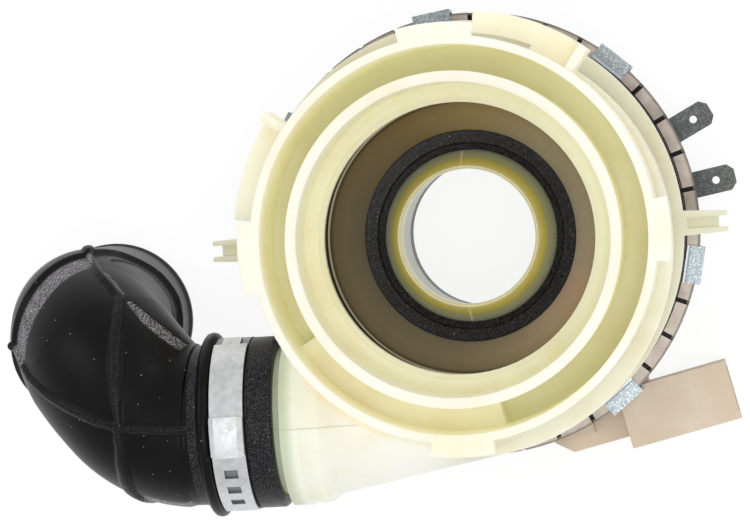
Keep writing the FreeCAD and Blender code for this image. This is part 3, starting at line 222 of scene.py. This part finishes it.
# Mould grain of about 0.9 mm on waves of about 6 mm, both coarser than real so that they show
grain = add_node(tree, "TexNoise", Vector=place, Scale=1100.0, Detail=2.0).outputs[0]
waves = add_node(tree, "TexNoise", Vector=place, Scale=160.0, Detail=1.0).outputs[0]
relief = add_node(tree, "Math", grain, 0.3, operation="MULTIPLY")
relief = add_node(tree, "Math", relief, waves, operation="ADD")
relief = add_node(tree, "Math", relief, seam, operation="SUBTRACT")
bump = add_node(tree, "Bump", Height=relief, Strength=0.12, Distance=0.0003)
sheen = add_node(tree, "MapRange", Value=cloud, To_Min=0.36, To_Max=0.5)
# Painted glow: the emission keeps even the deep groove bright; subsurface lets light into the milky walls
skin = add_node(tree, "BsdfPrincipled", Base_Color=body, Normal=bump, Roughness=sheen, IOR=1.49,
                Emission_Color=body, Emission_Strength=0.13, Subsurface_Weight=0.6,
                Subsurface_Radius=(1.0, 0.92, 0.6), Subsurface_Scale=0.007)
tree.links.new(skin.outputs[0], output.inputs["Surface"])
dress(["pump_housing"], polypropylene)


# Heater plate: deep-drawn stainless sheet, tanned and tinted by heat, with painted reflections and
# shade round the axis and on the hump's outer flank, faint drawing rings left by the press tool and a
# painted highlight round the crest.
crest_r = 0.0317
stainless, tree, output = new_material("drawn_stainless_sheet")
place, x, y, z, radius = coordinates(tree)
# Heat tint, with painted reflections and shade that change round the axis
turn = add_node(tree, "Math", y, x, operation="ARCTAN2")
around = add_node(tree, "MapRange", turn, -math.pi, math.pi, interpolation_type="SMOOTHSTEP")
heat_tint_and_painted_light = add_node(tree, "ValToRGB", around, stops=[(0.0, "#8E8678"), (0.14, "#ABA194"), (0.3, "#E2D0C2"),
                                                (0.37, "#F0D3C8"), (0.44, "#DFD3C6"), (0.55, "#D6CEC2"),
                                                (0.7, "#D2C8B6"), (0.82, "#C6B38C"), (0.92, "#A39071"),
                                                (1.0, "#8E8678")])
# Painted shade darkens it from the crest outwards, on the hump's outer flank and in the gap beside it
outwards = add_node(tree, "MapRange", radius, 0.0245, 0.0345, interpolation_type="SMOOTHSTEP")
painted_flank_shade = add_node(tree, "ValToRGB", outwards, stops=[(0.0, "#FFFAF0"), (0.35, "#F8F0E4"), (0.68, "#DDD6CC"),
                                                   (0.76, "#8E857B"), (0.84, "#4A423A"), (1.0, "#2A2420")])
heat_tint_and_painted_light = add_node(tree, "Mix", 1.0, heat_tint_and_painted_light, painted_flank_shade, data_type="RGBA", blend_type="MULTIPLY")
# Drawing rings about 0.08 mm apart: 2600 per metre times the noise's own scale of 5
ring_place = add_node(tree, "Math", radius, 2600.0, operation="MULTIPLY")
rings = add_node(tree, "TexNoise", W=ring_place, noise_dimensions="1D", Detail=3.0).outputs[0]
ring_share = add_node(tree, "Math", rings, 0.18, operation="MULTIPLY")
heat_tint_and_painted_light = add_node(tree, "Mix", ring_share, heat_tint_and_painted_light, "#5C5248", data_type="RGBA")
# Painted highlight about 0.4 mm wide along the crest
beside = add_node(tree, "Math", radius, crest_r, operation="SUBTRACT")
beside = add_node(tree, "Math", beside, operation="ABSOLUTE")
painted_crest_highlight = add_node(tree, "MapRange", beside, 0.0003, 0.0001, interpolation_type="SMOOTHSTEP")
at_crest = add_node(tree, "MapRange", z, 0.0460, 0.0468, To_Max=0.7, interpolation_type="SMOOTHSTEP")
painted_crest_highlight = add_node(tree, "Math", painted_crest_highlight, at_crest, operation="MULTIPLY")
heat_tint_and_painted_light = add_node(tree, "Mix", painted_crest_highlight, heat_tint_and_painted_light, "#DCD2C6", data_type="RGBA")
bump = add_node(tree, "Bump", Height=rings, Strength=0.1, Distance=0.0002)
soil_and_painted_shade = add_node(tree, "TexNoise", Vector=place, Scale=120.0, Detail=3.0).outputs[0]
gloss = add_node(tree, "MapRange", Value=soil_and_painted_shade, To_Min=0.34, To_Max=0.5)
skin = add_node(tree, "BsdfPrincipled", Base_Color=heat_tint_and_painted_light, Normal=bump, Roughness=gloss, Metallic=0.45)
tree.links.new(skin.outputs[0], output.inputs["Surface"])
dress(["heater_plate"], stainless)


# Heating tube: stainless sheath under the crest, soldered to the plate and darkened by heat.
# The stains are about 4 mm wide.
sheath, tree, output = new_material("annealed_sheath_steel")
place = add_node(tree, "TexCoord").outputs["Object"]
stain = add_node(tree, "TexNoise", Vector=place, Scale=260.0, Detail=4.0).outputs[0]
tone = add_node(tree, "ValToRGB", stain, stops=[(0.3, "#5F5A55"), (0.55, "#8A847C"), (0.75, "#A79F93")])
bump = add_node(tree, "Bump", Height=stain, Strength=0.15, Distance=0.0002)
skin = add_node(tree, "BsdfPrincipled", Base_Color=tone, Normal=bump, Metallic=0.95, Roughness=0.45)
tree.links.new(skin.outputs[0], output.inputs["Surface"])
dress(["heating_tube"], sheath)


# Rim ring: thin tinned steel strip with a warm tint, slit all round and folded over the gasket's
# lip. Painted shade darkens the tabs' outer edge and the ring's lower side. Smears are about 4.5 mm wide.
tinned_strip, tree, output = new_material("tinned_steel_strip")
place, _, _, z, radius = coordinates(tree)
smear = add_node(tree, "TexNoise", Vector=place, Scale=220.0, Detail=4.0).outputs[0]
tone = add_node(tree, "ValToRGB", smear, stops=[(0.3, "#B4A79E"), (0.5, "#C9BCB1"), (0.72, "#DCD0C4")])
# Painted shade on the tabs' outer edge, then on the ring's lower side
painted_edge_shade = add_node(tree, "MapRange", radius, 0.0522, 0.0529, To_Max=0.65, interpolation_type="SMOOTHSTEP")
tone = add_node(tree, "Mix", painted_edge_shade, tone, "#4E4A46", data_type="RGBA")
painted_lower_shade = add_node(tree, "MapRange", z, 0.0178, 0.0165, To_Max=0.5, interpolation_type="SMOOTHSTEP")
tone = add_node(tree, "Mix", painted_lower_shade, tone, "#6A645F", data_type="RGBA")
fine = add_node(tree, "TexNoise", Vector=place, Scale=1800.0, Detail=2.0).outputs[0]
bump = add_node(tree, "Bump", Height=fine, Strength=0.15, Distance=0.0001)
skin = add_node(tree, "BsdfPrincipled", Base_Color=tone, Normal=bump, Metallic=0.6, Roughness=0.48)
tree.links.new(skin.outputs[0], output.inputs["Surface"])
dress(["rim_ring"], tinned_strip)


# U clips: zinc-plated spring steel, pressed over the rim. The plating is blue-grey with bright
# crystals of about 0.3 mm, and the bent upper edge has a painted highlight.
zinc, tree, output = new_material("zinc_plated_spring_steel")
place, _, _, z, _ = coordinates(tree)
crystal = add_node(tree, "TexVoronoi", Vector=place, Scale=3600.0, Randomness=1.0).outputs["Color"]
shade = add_node(tree, "SeparateXYZ", crystal).outputs["X"]
tone = add_node(tree, "ValToRGB", shade, stops=[(0.0, "#8C969B"), (0.35, "#9EA9AF"), (0.7, "#AEB8BE"),
                                                (0.95, "#D0D7DB")])
# Painted highlight along the bent upper edge
painted_top_highlight = add_node(tree, "MapRange", z, 0.0190, 0.0193, To_Max=0.6, interpolation_type="SMOOTHSTEP")
tone = add_node(tree, "Mix", painted_top_highlight, tone, "#E6ECF0", data_type="RGBA")
bump = add_node(tree, "Bump", Height=shade, Strength=0.12, Distance=0.0001)
skin = add_node(tree, "BsdfPrincipled", Base_Color=tone, Normal=bump, Metallic=0.8, Roughness=0.38)
tree.links.new(skin.outputs[0], output.inputs["Surface"])
dress(["rim_clip_%d" % number for number in range(1, 8)], zinc)


# Spade terminals: punched steel strip with a dull tin coat, darkened in use. Its spangles are
# about 0.25 mm wide, with a film of soil about 1.7 mm wide over them.
spade, tree, output = new_material("dull_spangled_tin")
place = add_node(tree, "TexCoord").outputs["Object"]
spangle = add_node(tree, "TexVoronoi", Vector=place, Scale=4200.0).outputs["Color"]
shade = add_node(tree, "SeparateXYZ", spangle).outputs["X"]
shade = add_node(tree, "Math", shade, 0.55, operation="MULTIPLY")
film = add_node(tree, "TexNoise", Vector=place, Scale=600.0, Detail=4.0).outputs[0]
film = add_node(tree, "Math", film, 0.5, operation="MULTIPLY")
mottle = add_node(tree, "Math", shade, film, operation="ADD")
tone = add_node(tree, "ValToRGB", mottle, stops=[(0.22, "#4A4D4C"), (0.45, "#5E6160"), (0.66, "#6D7170"),
                                                 (0.86, "#8E9290")])
bump = add_node(tree, "Bump", Height=mottle, Strength=0.3, Distance=0.0001)
skin = add_node(tree, "BsdfPrincipled", Base_Color=tone, Normal=bump, Metallic=0.5, Roughness=0.5)
tree.links.new(skin.outputs[0], output.inputs["Surface"])
dress(["terminal_blade_1", "terminal_blade_2"], spade)


# Tube ends, limiter, sensor and pins on the hidden side: unglazed ceramic beads, a moulded resin
# limiter case and an aluminium sensor sleeve; the contact pins are tinned brass. Their stains
# are 1.1 to 2.5 mm wide.
def plain_finish(name, dark, light, scale, metallic, roughness):
    """Material whose colour wanders between two hex codes on a noise of the given scale."""
    material, tree, output = new_material(name)
    place = add_node(tree, "TexCoord").outputs["Object"]
    wander = add_node(tree, "TexNoise", Vector=place, Scale=scale, Detail=4.0).outputs[0]
    tone = add_node(tree, "ValToRGB", wander, stops=[(0.3, dark), (0.7, light)])
    bump = add_node(tree, "Bump", Height=wander, Strength=0.12, Distance=0.0002)
    skin = add_node(tree, "BsdfPrincipled", Base_Color=tone, Normal=bump, Metallic=metallic,
                    Roughness=roughness)
    tree.links.new(skin.outputs[0], output.inputs["Surface"])
    return material


ceramic = plain_finish("steatite_ceramic", "#D6D0BF", "#EFEADD", 700.0, metallic=0.0, roughness=0.7)
phenolic = plain_finish("moulded_phenolic", "#2A241D", "#3D352B", 400.0, metallic=0.0, roughness=0.35)
aluminium = plain_finish("turned_aluminium", "#9C9E9F", "#BFC1C1", 900.0, metallic=1.0, roughness=0.35)
brass = plain_finish("tinned_brass", "#A79A6B", "#C6BB93", 900.0, metallic=1.0, roughness=0.3)
dress(["terminal_bead_1", "terminal_bead_2"], ceramic)
dress(["thermal_limiter"], phenolic)
dress(["temperature_sensor"], aluminium)
dress(["connector_pins"], brass)


# Suction nozzle: translucent olive-yellow polysulfone tube. Its tapered outside is grey-green and its
# lip yellow, partly their own colour and partly painted glow; the bore is pale, with painted shade
# deeper down. Two parting lines stand at 12 and 6 o'clock.
amber, tree, output = new_material("olive_polysulfone")
place, x, _, z, radius = coordinates(tree)
# Grey-green low down and yellow at the lip: the wall's olive colour, with painted glow towards the lip
rise = add_node(tree, "MapRange", z, 0.033, 0.0412, interpolation_type="SMOOTHSTEP")
tone = add_node(tree, "ValToRGB", rise, stops=[(0.0, "#9DA28A"), (0.35, "#A9AC8C"), (0.55, "#B5B272"),
                                               (0.78, "#D2C65E"), (0.92, "#DACC74"), (1.0, "#DDD6A6")])
# Painted shade darkens the bore deeper down; it is pale near the lip
rise = add_node(tree, "MapRange", z, 0.006, 0.042, interpolation_type="SMOOTHSTEP")
bore_colour_and_painted_shade = add_node(tree, "ValToRGB", rise, stops=[(0.0, "#6E705C"), (0.6, "#A5A583"), (1.0, "#DDD9B4")])
bore = add_node(tree, "MapRange", radius, 0.0162, 0.01585, interpolation_type="SMOOTHSTEP")
tone = add_node(tree, "Mix", bore, tone, bore_colour_and_painted_shade, data_type="RGBA")
# Flow streaks about 2.4 mm wide
streak = add_node(tree, "TexNoise", Vector=place, Scale=420.0, Detail=4.0).outputs[0]
streak_share = add_node(tree, "Math", streak, 0.3, operation="MULTIPLY")
tone = add_node(tree, "Mix", streak_share, tone, "#CFC9A0", data_type="RGBA", blend_type="MULTIPLY")
# Parting lines about 0.6 mm wide, on the outside only and 0.8 mm off the axis
beside = add_node(tree, "Math", x, 0.0008, operation="ADD")
beside = add_node(tree, "Math", beside, operation="ABSOLUTE")
mark = add_node(tree, "MapRange", beside, 0.0004, 0.00018, interpolation_type="SMOOTHSTEP")
outer_face = add_node(tree, "Math", 1.0, bore, operation="SUBTRACT")
mark = add_node(tree, "Math", mark, outer_face, operation="MULTIPLY")
mark_share = add_node(tree, "Math", mark, 0.55, operation="MULTIPLY")
tone = add_node(tree, "Mix", mark_share, tone, "#E8E3B8", data_type="RGBA")
relief = add_node(tree, "Math", streak, mark, operation="ADD")
bump = add_node(tree, "Bump", Height=relief, Strength=0.2, Distance=0.0002)
# Painted glow: emission in the nozzle's own colour stands in for light piped up the clear wall to the lip
skin = add_node(tree, "BsdfPrincipled", Base_Color=tone, Normal=bump, Roughness=0.28, IOR=1.63,
                Emission_Color=tone, Emission_Strength=0.16, Subsurface_Weight=0.5,
                Subsurface_Radius=(1.0, 0.9, 0.35), Subsurface_Scale=0.003)
tree.links.new(skin.outputs[0], output.inputs["Surface"])
dress(["suction_nozzle"], amber)


# Seals: black EPDM, moulded in an eroded tool that leaves a grain on the faces, with painted glints
# on its pits. It is drawn about 0.2 mm wide, coarser than real, so that it shows. The rim gasket has
# less of it, because it is extruded.
def black_rubber(name, grain_share=None):
    """Black rubber whose grain has a share from 0 to 1, or follows the mesh's grain attribute."""
    material, tree, output = new_material(name)
    place = add_node(tree, "TexCoord").outputs["Object"]
    if grain_share is None:
        grain_share = add_node(tree, "Attribute", attribute_name="grain").outputs["Fac"]
    pits = add_node(tree, "TexVoronoi", Vector=place, Scale=4600.0).outputs["Distance"]
    # Painted glints: light grey on the grain's pits, whose mask also gives the grain's bump
    grain_and_painted_glint = add_node(tree, "MapRange", pits, 0.54, 0.7, To_Max=0.9, interpolation_type="SMOOTHSTEP")
    grain_and_painted_glint = add_node(tree, "Math", grain_and_painted_glint, grain_share, operation="MULTIPLY")
    haze = add_node(tree, "TexNoise", Vector=place, Scale=45.0, Detail=3.0).outputs[0]
    tone = add_node(tree, "ValToRGB", haze, stops=[(0.35, "#080709"), (0.6, "#0B0A0C"), (0.8, "#100E11")])
    dust = add_node(tree, "TexVoronoi", Vector=place, Scale=330.0).outputs["Distance"]
    dust = add_node(tree, "MapRange", dust, 0.07, 0.03, interpolation_type="SMOOTHSTEP")
    tone = add_node(tree, "Mix", dust, tone, "#8B8890", data_type="RGBA")
    tone = add_node(tree, "Mix", grain_and_painted_glint, tone, "#C4C1C7", data_type="RGBA")
    relief = add_node(tree, "TexNoise", Vector=place, Scale=900.0, Detail=3.0).outputs[0]
    relief = add_node(tree, "Math", relief, 0.12, operation="MULTIPLY")
    relief = add_node(tree, "Math", relief, grain_and_painted_glint, operation="ADD")
    bump = add_node(tree, "Bump", Height=relief, Strength=0.3, Distance=0.0001)
    rough = add_node(tree, "MapRange", Value=haze, To_Min=0.3, To_Max=0.4)
    skin = add_node(tree, "BsdfPrincipled", Base_Color=tone, Normal=bump, Roughness=rough, IOR=1.25)
    tree.links.new(skin.outputs[0], output.inputs["Surface"])
    return material


dress(["nozzle_seal", "suction_seal"], black_rubber("grained_epdm_rubber", 0.12))
dress(["rim_gasket"], black_rubber("extruded_epdm_rubber", 0.05))


# Outlet elbow: black EPDM moulded round a steel core. It is one surface along the hose's run:
# end ring, clamp seat, bead and neck, then the bend with its three mould ribs, and the leg that
# ends in a slanted cuff. Bands beside the ribs and the cuff keep the eroded grain of the tool.
mouth_x = -0.0443
swing, swing_r, dive_r = math.radians(50.35), 0.0203, 0.0212
run_ends = np.cumsum([0.0, 0.0196, swing_r * swing, dive_r * math.pi / 2, outlet_z - dive_r])


def hose_surface(along, round_axis, distance):
    """Points of the hose: its middle goes straight, swings level, dives a quarter turn and drops;
    a point lies at a distance from it, turned from the upper side towards the inner side."""
    a = np.clip((along - run_ends[1]) / swing_r, 0.0, swing)
    b = np.clip((along - run_ends[2]) / dive_r, 0.0, math.pi / 2)
    level = np.stack([-np.cos(a), np.sin(a), 0 * a], -1)
    side = np.stack([np.sin(a), np.cos(a), 0 * a], -1)
    up = np.stack([0 * a, 0 * a, 1 + 0 * a], -1)
    middle = np.stack([mouth_x - np.minimum(along, run_ends[1]), outlet_y + 0 * a, outlet_z + 0 * a], -1)
    middle += np.stack([-swing_r * np.sin(a), swing_r * (1 - np.cos(a)), 0 * a], -1)
    middle += level * (dive_r * np.sin(b))[..., None]
    middle -= up * (dive_r * (1 - np.cos(b)) + np.clip(along - run_ends[3], 0.0, None))[..., None]
    crown = level * np.sin(b)[..., None] + up * np.cos(b)[..., None]
    offset = crown * np.cos(round_axis)[..., None] + side * np.sin(round_axis)[..., None]
    return middle + offset * distance[..., None]


def step_up(value, start, width):
    """Smooth step from 0 to 1 that starts at a value and takes a width."""
    t = np.clip((value - start) / width, 0.0, 1.0)
    return t * t * (3 - 2 * t)


def ridge(distance, half_width):
    """Rounded rib section: 1 at its middle, 0 from the half width on."""
    return np.sqrt(np.clip(1 - (distance / half_width) ** 2, 0.0, 1.0))


def loop_mesh(name, points, material, **attributes):
    """Closed tube of quads from a grid of points that wraps both ways, with float attributes per point."""
    rows, columns = points.shape[:2]
    index = np.arange(rows * columns).reshape(rows, columns)
    after = np.roll(index, -1, 0)
    quads = np.stack([index, after, np.roll(after, -1, 1), np.roll(index, -1, 1)], -1).reshape(-1, 4)
    mesh = bpy.data.meshes.new(name)
    mesh.from_pydata(points.reshape(-1, 3).tolist(), [], quads.tolist())
    mesh.polygons.foreach_set("use_smooth", np.ones(len(quads), dtype=bool))
    for attribute, values in attributes.items():
        mesh.attributes.new(attribute, "FLOAT", "POINT").data.foreach_set("value", values.reshape(-1))
    mesh.materials.append(material)
    piece = bpy.data.objects.new(name, mesh)
    bpy.context.scene.collection.objects.link(piece)
    return piece


# Rows along the hose in millimetres, closest over the ribs, and columns round it in degrees
mm = 0.001
end = run_ends[-1] / mm
rows = np.concatenate([np.linspace(0.0, 19.0, 52), np.linspace(19.25, 69.0, 200),
                       np.linspace(69.6, end, 42)])
columns = np.linspace(-180.0, 180.0, 312, endpoint=False)
along, angle = np.meshgrid(rows, columns, indexing="ij")
hose_r = 19.0
arc = math.radians(1) * hose_r

# Section of the wall: places along the hose and radii there, in millimetres
section = np.array([(0, 19.3), (0.6, 19.8), (6.0, 19.8), (6.3, 19.2), (14.0, 19.2), (14.2, 20.4),
                    (14.9, 21.2), (15.6, 21.4), (16.4, 21.2), (17.1, 20.4), (17.4, 18.7), (19.6, 18.5),
                    (20.6, 18.5), (21.4, 19.0), (50, 19.0), (60, 18.1), (98.6, 18.0)])
wall = np.interp(along, *section.T)
# Slanted cuff: places round the hose in degrees and where it starts there, then its raised band,
# its step back and the short rib above it on the inner side
cuff = np.array([(-180, 76), (-135, 62), (-90, 57), (-40, 57.4), (-4, 60), (16, 61.8), (42, 64),
                 (48, 65.4), (74, 73), (92, 80.6), (114, 85.2), (135, 84.4), (180, 76)])
cuff_at = np.interp(angle, *cuff.T)
wall += 1.1 * step_up(along, cuff_at - 0.2, 0.9)
wall -= 0.5 * step_up(along, cuff_at + 2.6, 0.8) * (along < 97)
wall += 0.35 * ridge(along - cuff_at + 5.0, 0.8) * (angle > 60) * (angle < 150)
# Cross rib, given by degrees round the hose and its place along it
rib_half, rib_height = 1.0, 0.9
cross_rib = np.array([(-180, 24), (-120, 25.4), (-80, 27.4), (-68, 28.6), (-45, 29.8), (-25, 31.6),
                      (-10, 34.4), (1, 37.8), (12, 40.2), (23, 42.6), (33, 44.8), (44, 47.6), (50, 50.0),
                      (60, 54)])
cross_at = np.interp(angle, *cross_rib.T)
slope = np.gradient(cross_at, axis=1) / ((columns[1] - columns[0]) * arc)
cross = ridge((along - cross_at) / np.sqrt(1 + slope ** 2), rib_half) * (angle < 52)
# Spine rib and the short rib to the far side, given by places along the hose and degrees round it
spine_rib = np.array([(19.6, 2), (25.6, 0), (29.8, -4), (33.8, -12), (36.2, -16), (38.4, -22), (42, -32),
                      (45.6, -40), (49.6, -45), (53.4, -45), (58, -45)])
spine_at = np.interp(along, *spine_rib.T)
slope = np.gradient(spine_at, axis=0) * arc / np.gradient(along, axis=0)
spine = ridge((angle - spine_at) * arc / np.sqrt(1 + slope ** 2), rib_half)
spine *= (along > 19.0) * (along < 58.5)
short_rib = np.array([(50, 50), (53.2, 50), (56.2, 48), (59.8, 47), (68.4, 42)])
short_at = np.interp(along, *short_rib.T)
short = ridge((angle - short_at) * arc, 1.05) * (along > 49.5) * (along < 68.5)
nub = ridge(np.hypot(along - 66.5, (angle - 43) * arc), 1.5)
long_ribs = np.maximum(cross, spine)
wall += rib_height * np.maximum(long_ribs, np.maximum(short, 1.1 * nub))

# Grain: a band above the cuff, a strip down to the crotch, one below the bend, a narrow one by the
# short rib, and a little on the ribs, the end ring and the neck
band = step_up(along, cuff_at - 5.0, 0.4) * (1 - step_up(along, cuff_at - 0.6, 0.4))
band *= np.abs(angle) < 45
strip_low = np.interp(along, [37, 38, 41.2, 44.2, 47.6, 49], [66, 62, 57, 54, 53, 54])
strip_high = np.interp(along, [37, 38.6, 41.4, 45, 49], [80, 75, 69, 64, 58])
strip = (angle > strip_low) * (angle < strip_high) * (along > 36.6) * (along < 48.8)
under = (angle < -65) * (angle > -86) * (along > 20.5) * (along < 26.8)
narrow = (angle > short_at + 3.5) * (angle < short_at + 6.5) * (along > 50.5) * (along < 57.5)
ring_and_neck = (along < 6.2) | ((along > 17.4) & (along < 19.6))
grain = np.clip(band + strip + under + 0.8 * narrow, 0.0, 1.0)
grain = np.maximum(grain, 0.06 * long_ribs)
grain = np.maximum(grain, 0.14 * ring_and_neck)
wall -= 0.25 * strip

outside = hose_surface(along * mm, np.radians(angle), wall * mm)
along, angle = np.meshgrid(np.linspace(end, 0.0, 20), columns, indexing="ij")
bore_r = np.where(along < 18.1, 17.15, 16.4)
inside = hose_surface(along * mm, np.radians(angle), bore_r * mm)
points = np.concatenate([outside, inside])[::-1]
grain = np.concatenate([grain, np.zeros(along.shape)])[::-1]
elbow = loop_mesh("elbow_moulding", points, black_rubber("grained_elbow_rubber"), grain=grain)
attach(elbow, "root")
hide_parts("rubber_elbow")


# Connector housing: beige glass-filled nylon, matt, with flow marks about 11 mm wide and a fibre
# pattern about 0.7 mm wide that darkens it a little.
nylon, tree, output = new_material("beige_glass_filled_nylon")
place = add_node(tree, "TexCoord").outputs["Object"]
flow = add_node(tree, "TexNoise", Vector=place, Scale=90.0, Detail=4.0).outputs[0]
tone = add_node(tree, "ValToRGB", flow, stops=[(0.3, "#DFCBB2"), (0.55, "#E5D2BA"), (0.75, "#ECDCC8")])
fibre = add_node(tree, "TexNoise", Vector=place, Scale=1500.0, Detail=3.0).outputs[0]
fibre_share = add_node(tree, "Math", fibre, 0.14, operation="MULTIPLY")
tone = add_node(tree, "Mix", fibre_share, tone, "#B9A085", data_type="RGBA")
bump = add_node(tree, "Bump", Height=fibre, Strength=0.15, Distance=0.0002)
skin = add_node(tree, "BsdfPrincipled", Base_Color=tone, Normal=bump, Roughness=0.55, IOR=1.53)
tree.links.new(skin.outputs[0], output.inputs["Surface"])
dress(["connector_housing"], nylon)


# Hose clamp: bright stainless band, stamped and closed with pliers, so it has dents about 8 mm
# and scuffs about 2.4 mm wide. Painted shade darkens the lower layer of the lap.
band_steel, tree, output = new_material("bright_stainless_band")
place, _, y, z, _ = coordinates(tree)
scuff = add_node(tree, "TexNoise", Vector=place, Scale=420.0, Detail=5.0, Distortion=1.2).outputs[0]
dents = add_node(tree, "TexNoise", Vector=place, Scale=130.0, Detail=2.0).outputs[0]
tone = add_node(tree, "ValToRGB", scuff, stops=[(0.3, "#DADCDD"), (0.5, "#E8E9EA"), (0.7, "#F4F5F5")])
_, off_axis = from_outlet_axis(tree, y, z)
# Painted shade on the lower layer of the lap, next to the rubber
painted_shade_falloff = add_node(tree, "MapRange", off_axis, 0.0196, 0.0230, interpolation_type="SMOOTHSTEP")
soil_and_painted_shade = add_node(tree, "ValToRGB", painted_shade_falloff, stops=[(0.0, "#8F9394"), (0.1, "#A2A5A6"), (0.2, "#FFFFFF")])
tone = add_node(tree, "Mix", 1.0, tone, soil_and_painted_shade, data_type="RGBA", blend_type="MULTIPLY")
gloss = add_node(tree, "MapRange", Value=scuff, To_Min=0.25, To_Max=0.5)
relief = add_node(tree, "Math", scuff, 0.4, operation="MULTIPLY")
relief = add_node(tree, "Math", relief, dents, operation="ADD")
bump = add_node(tree, "Bump", Height=relief, Strength=0.15, Distance=0.0003)
skin = add_node(tree, "BsdfPrincipled", Base_Color=tone, Normal=bump, Roughness=gloss, Metallic=0.7)
tree.links.new(skin.outputs[0], output.inputs["Surface"])
dress(["hose_clamp"], band_steel)
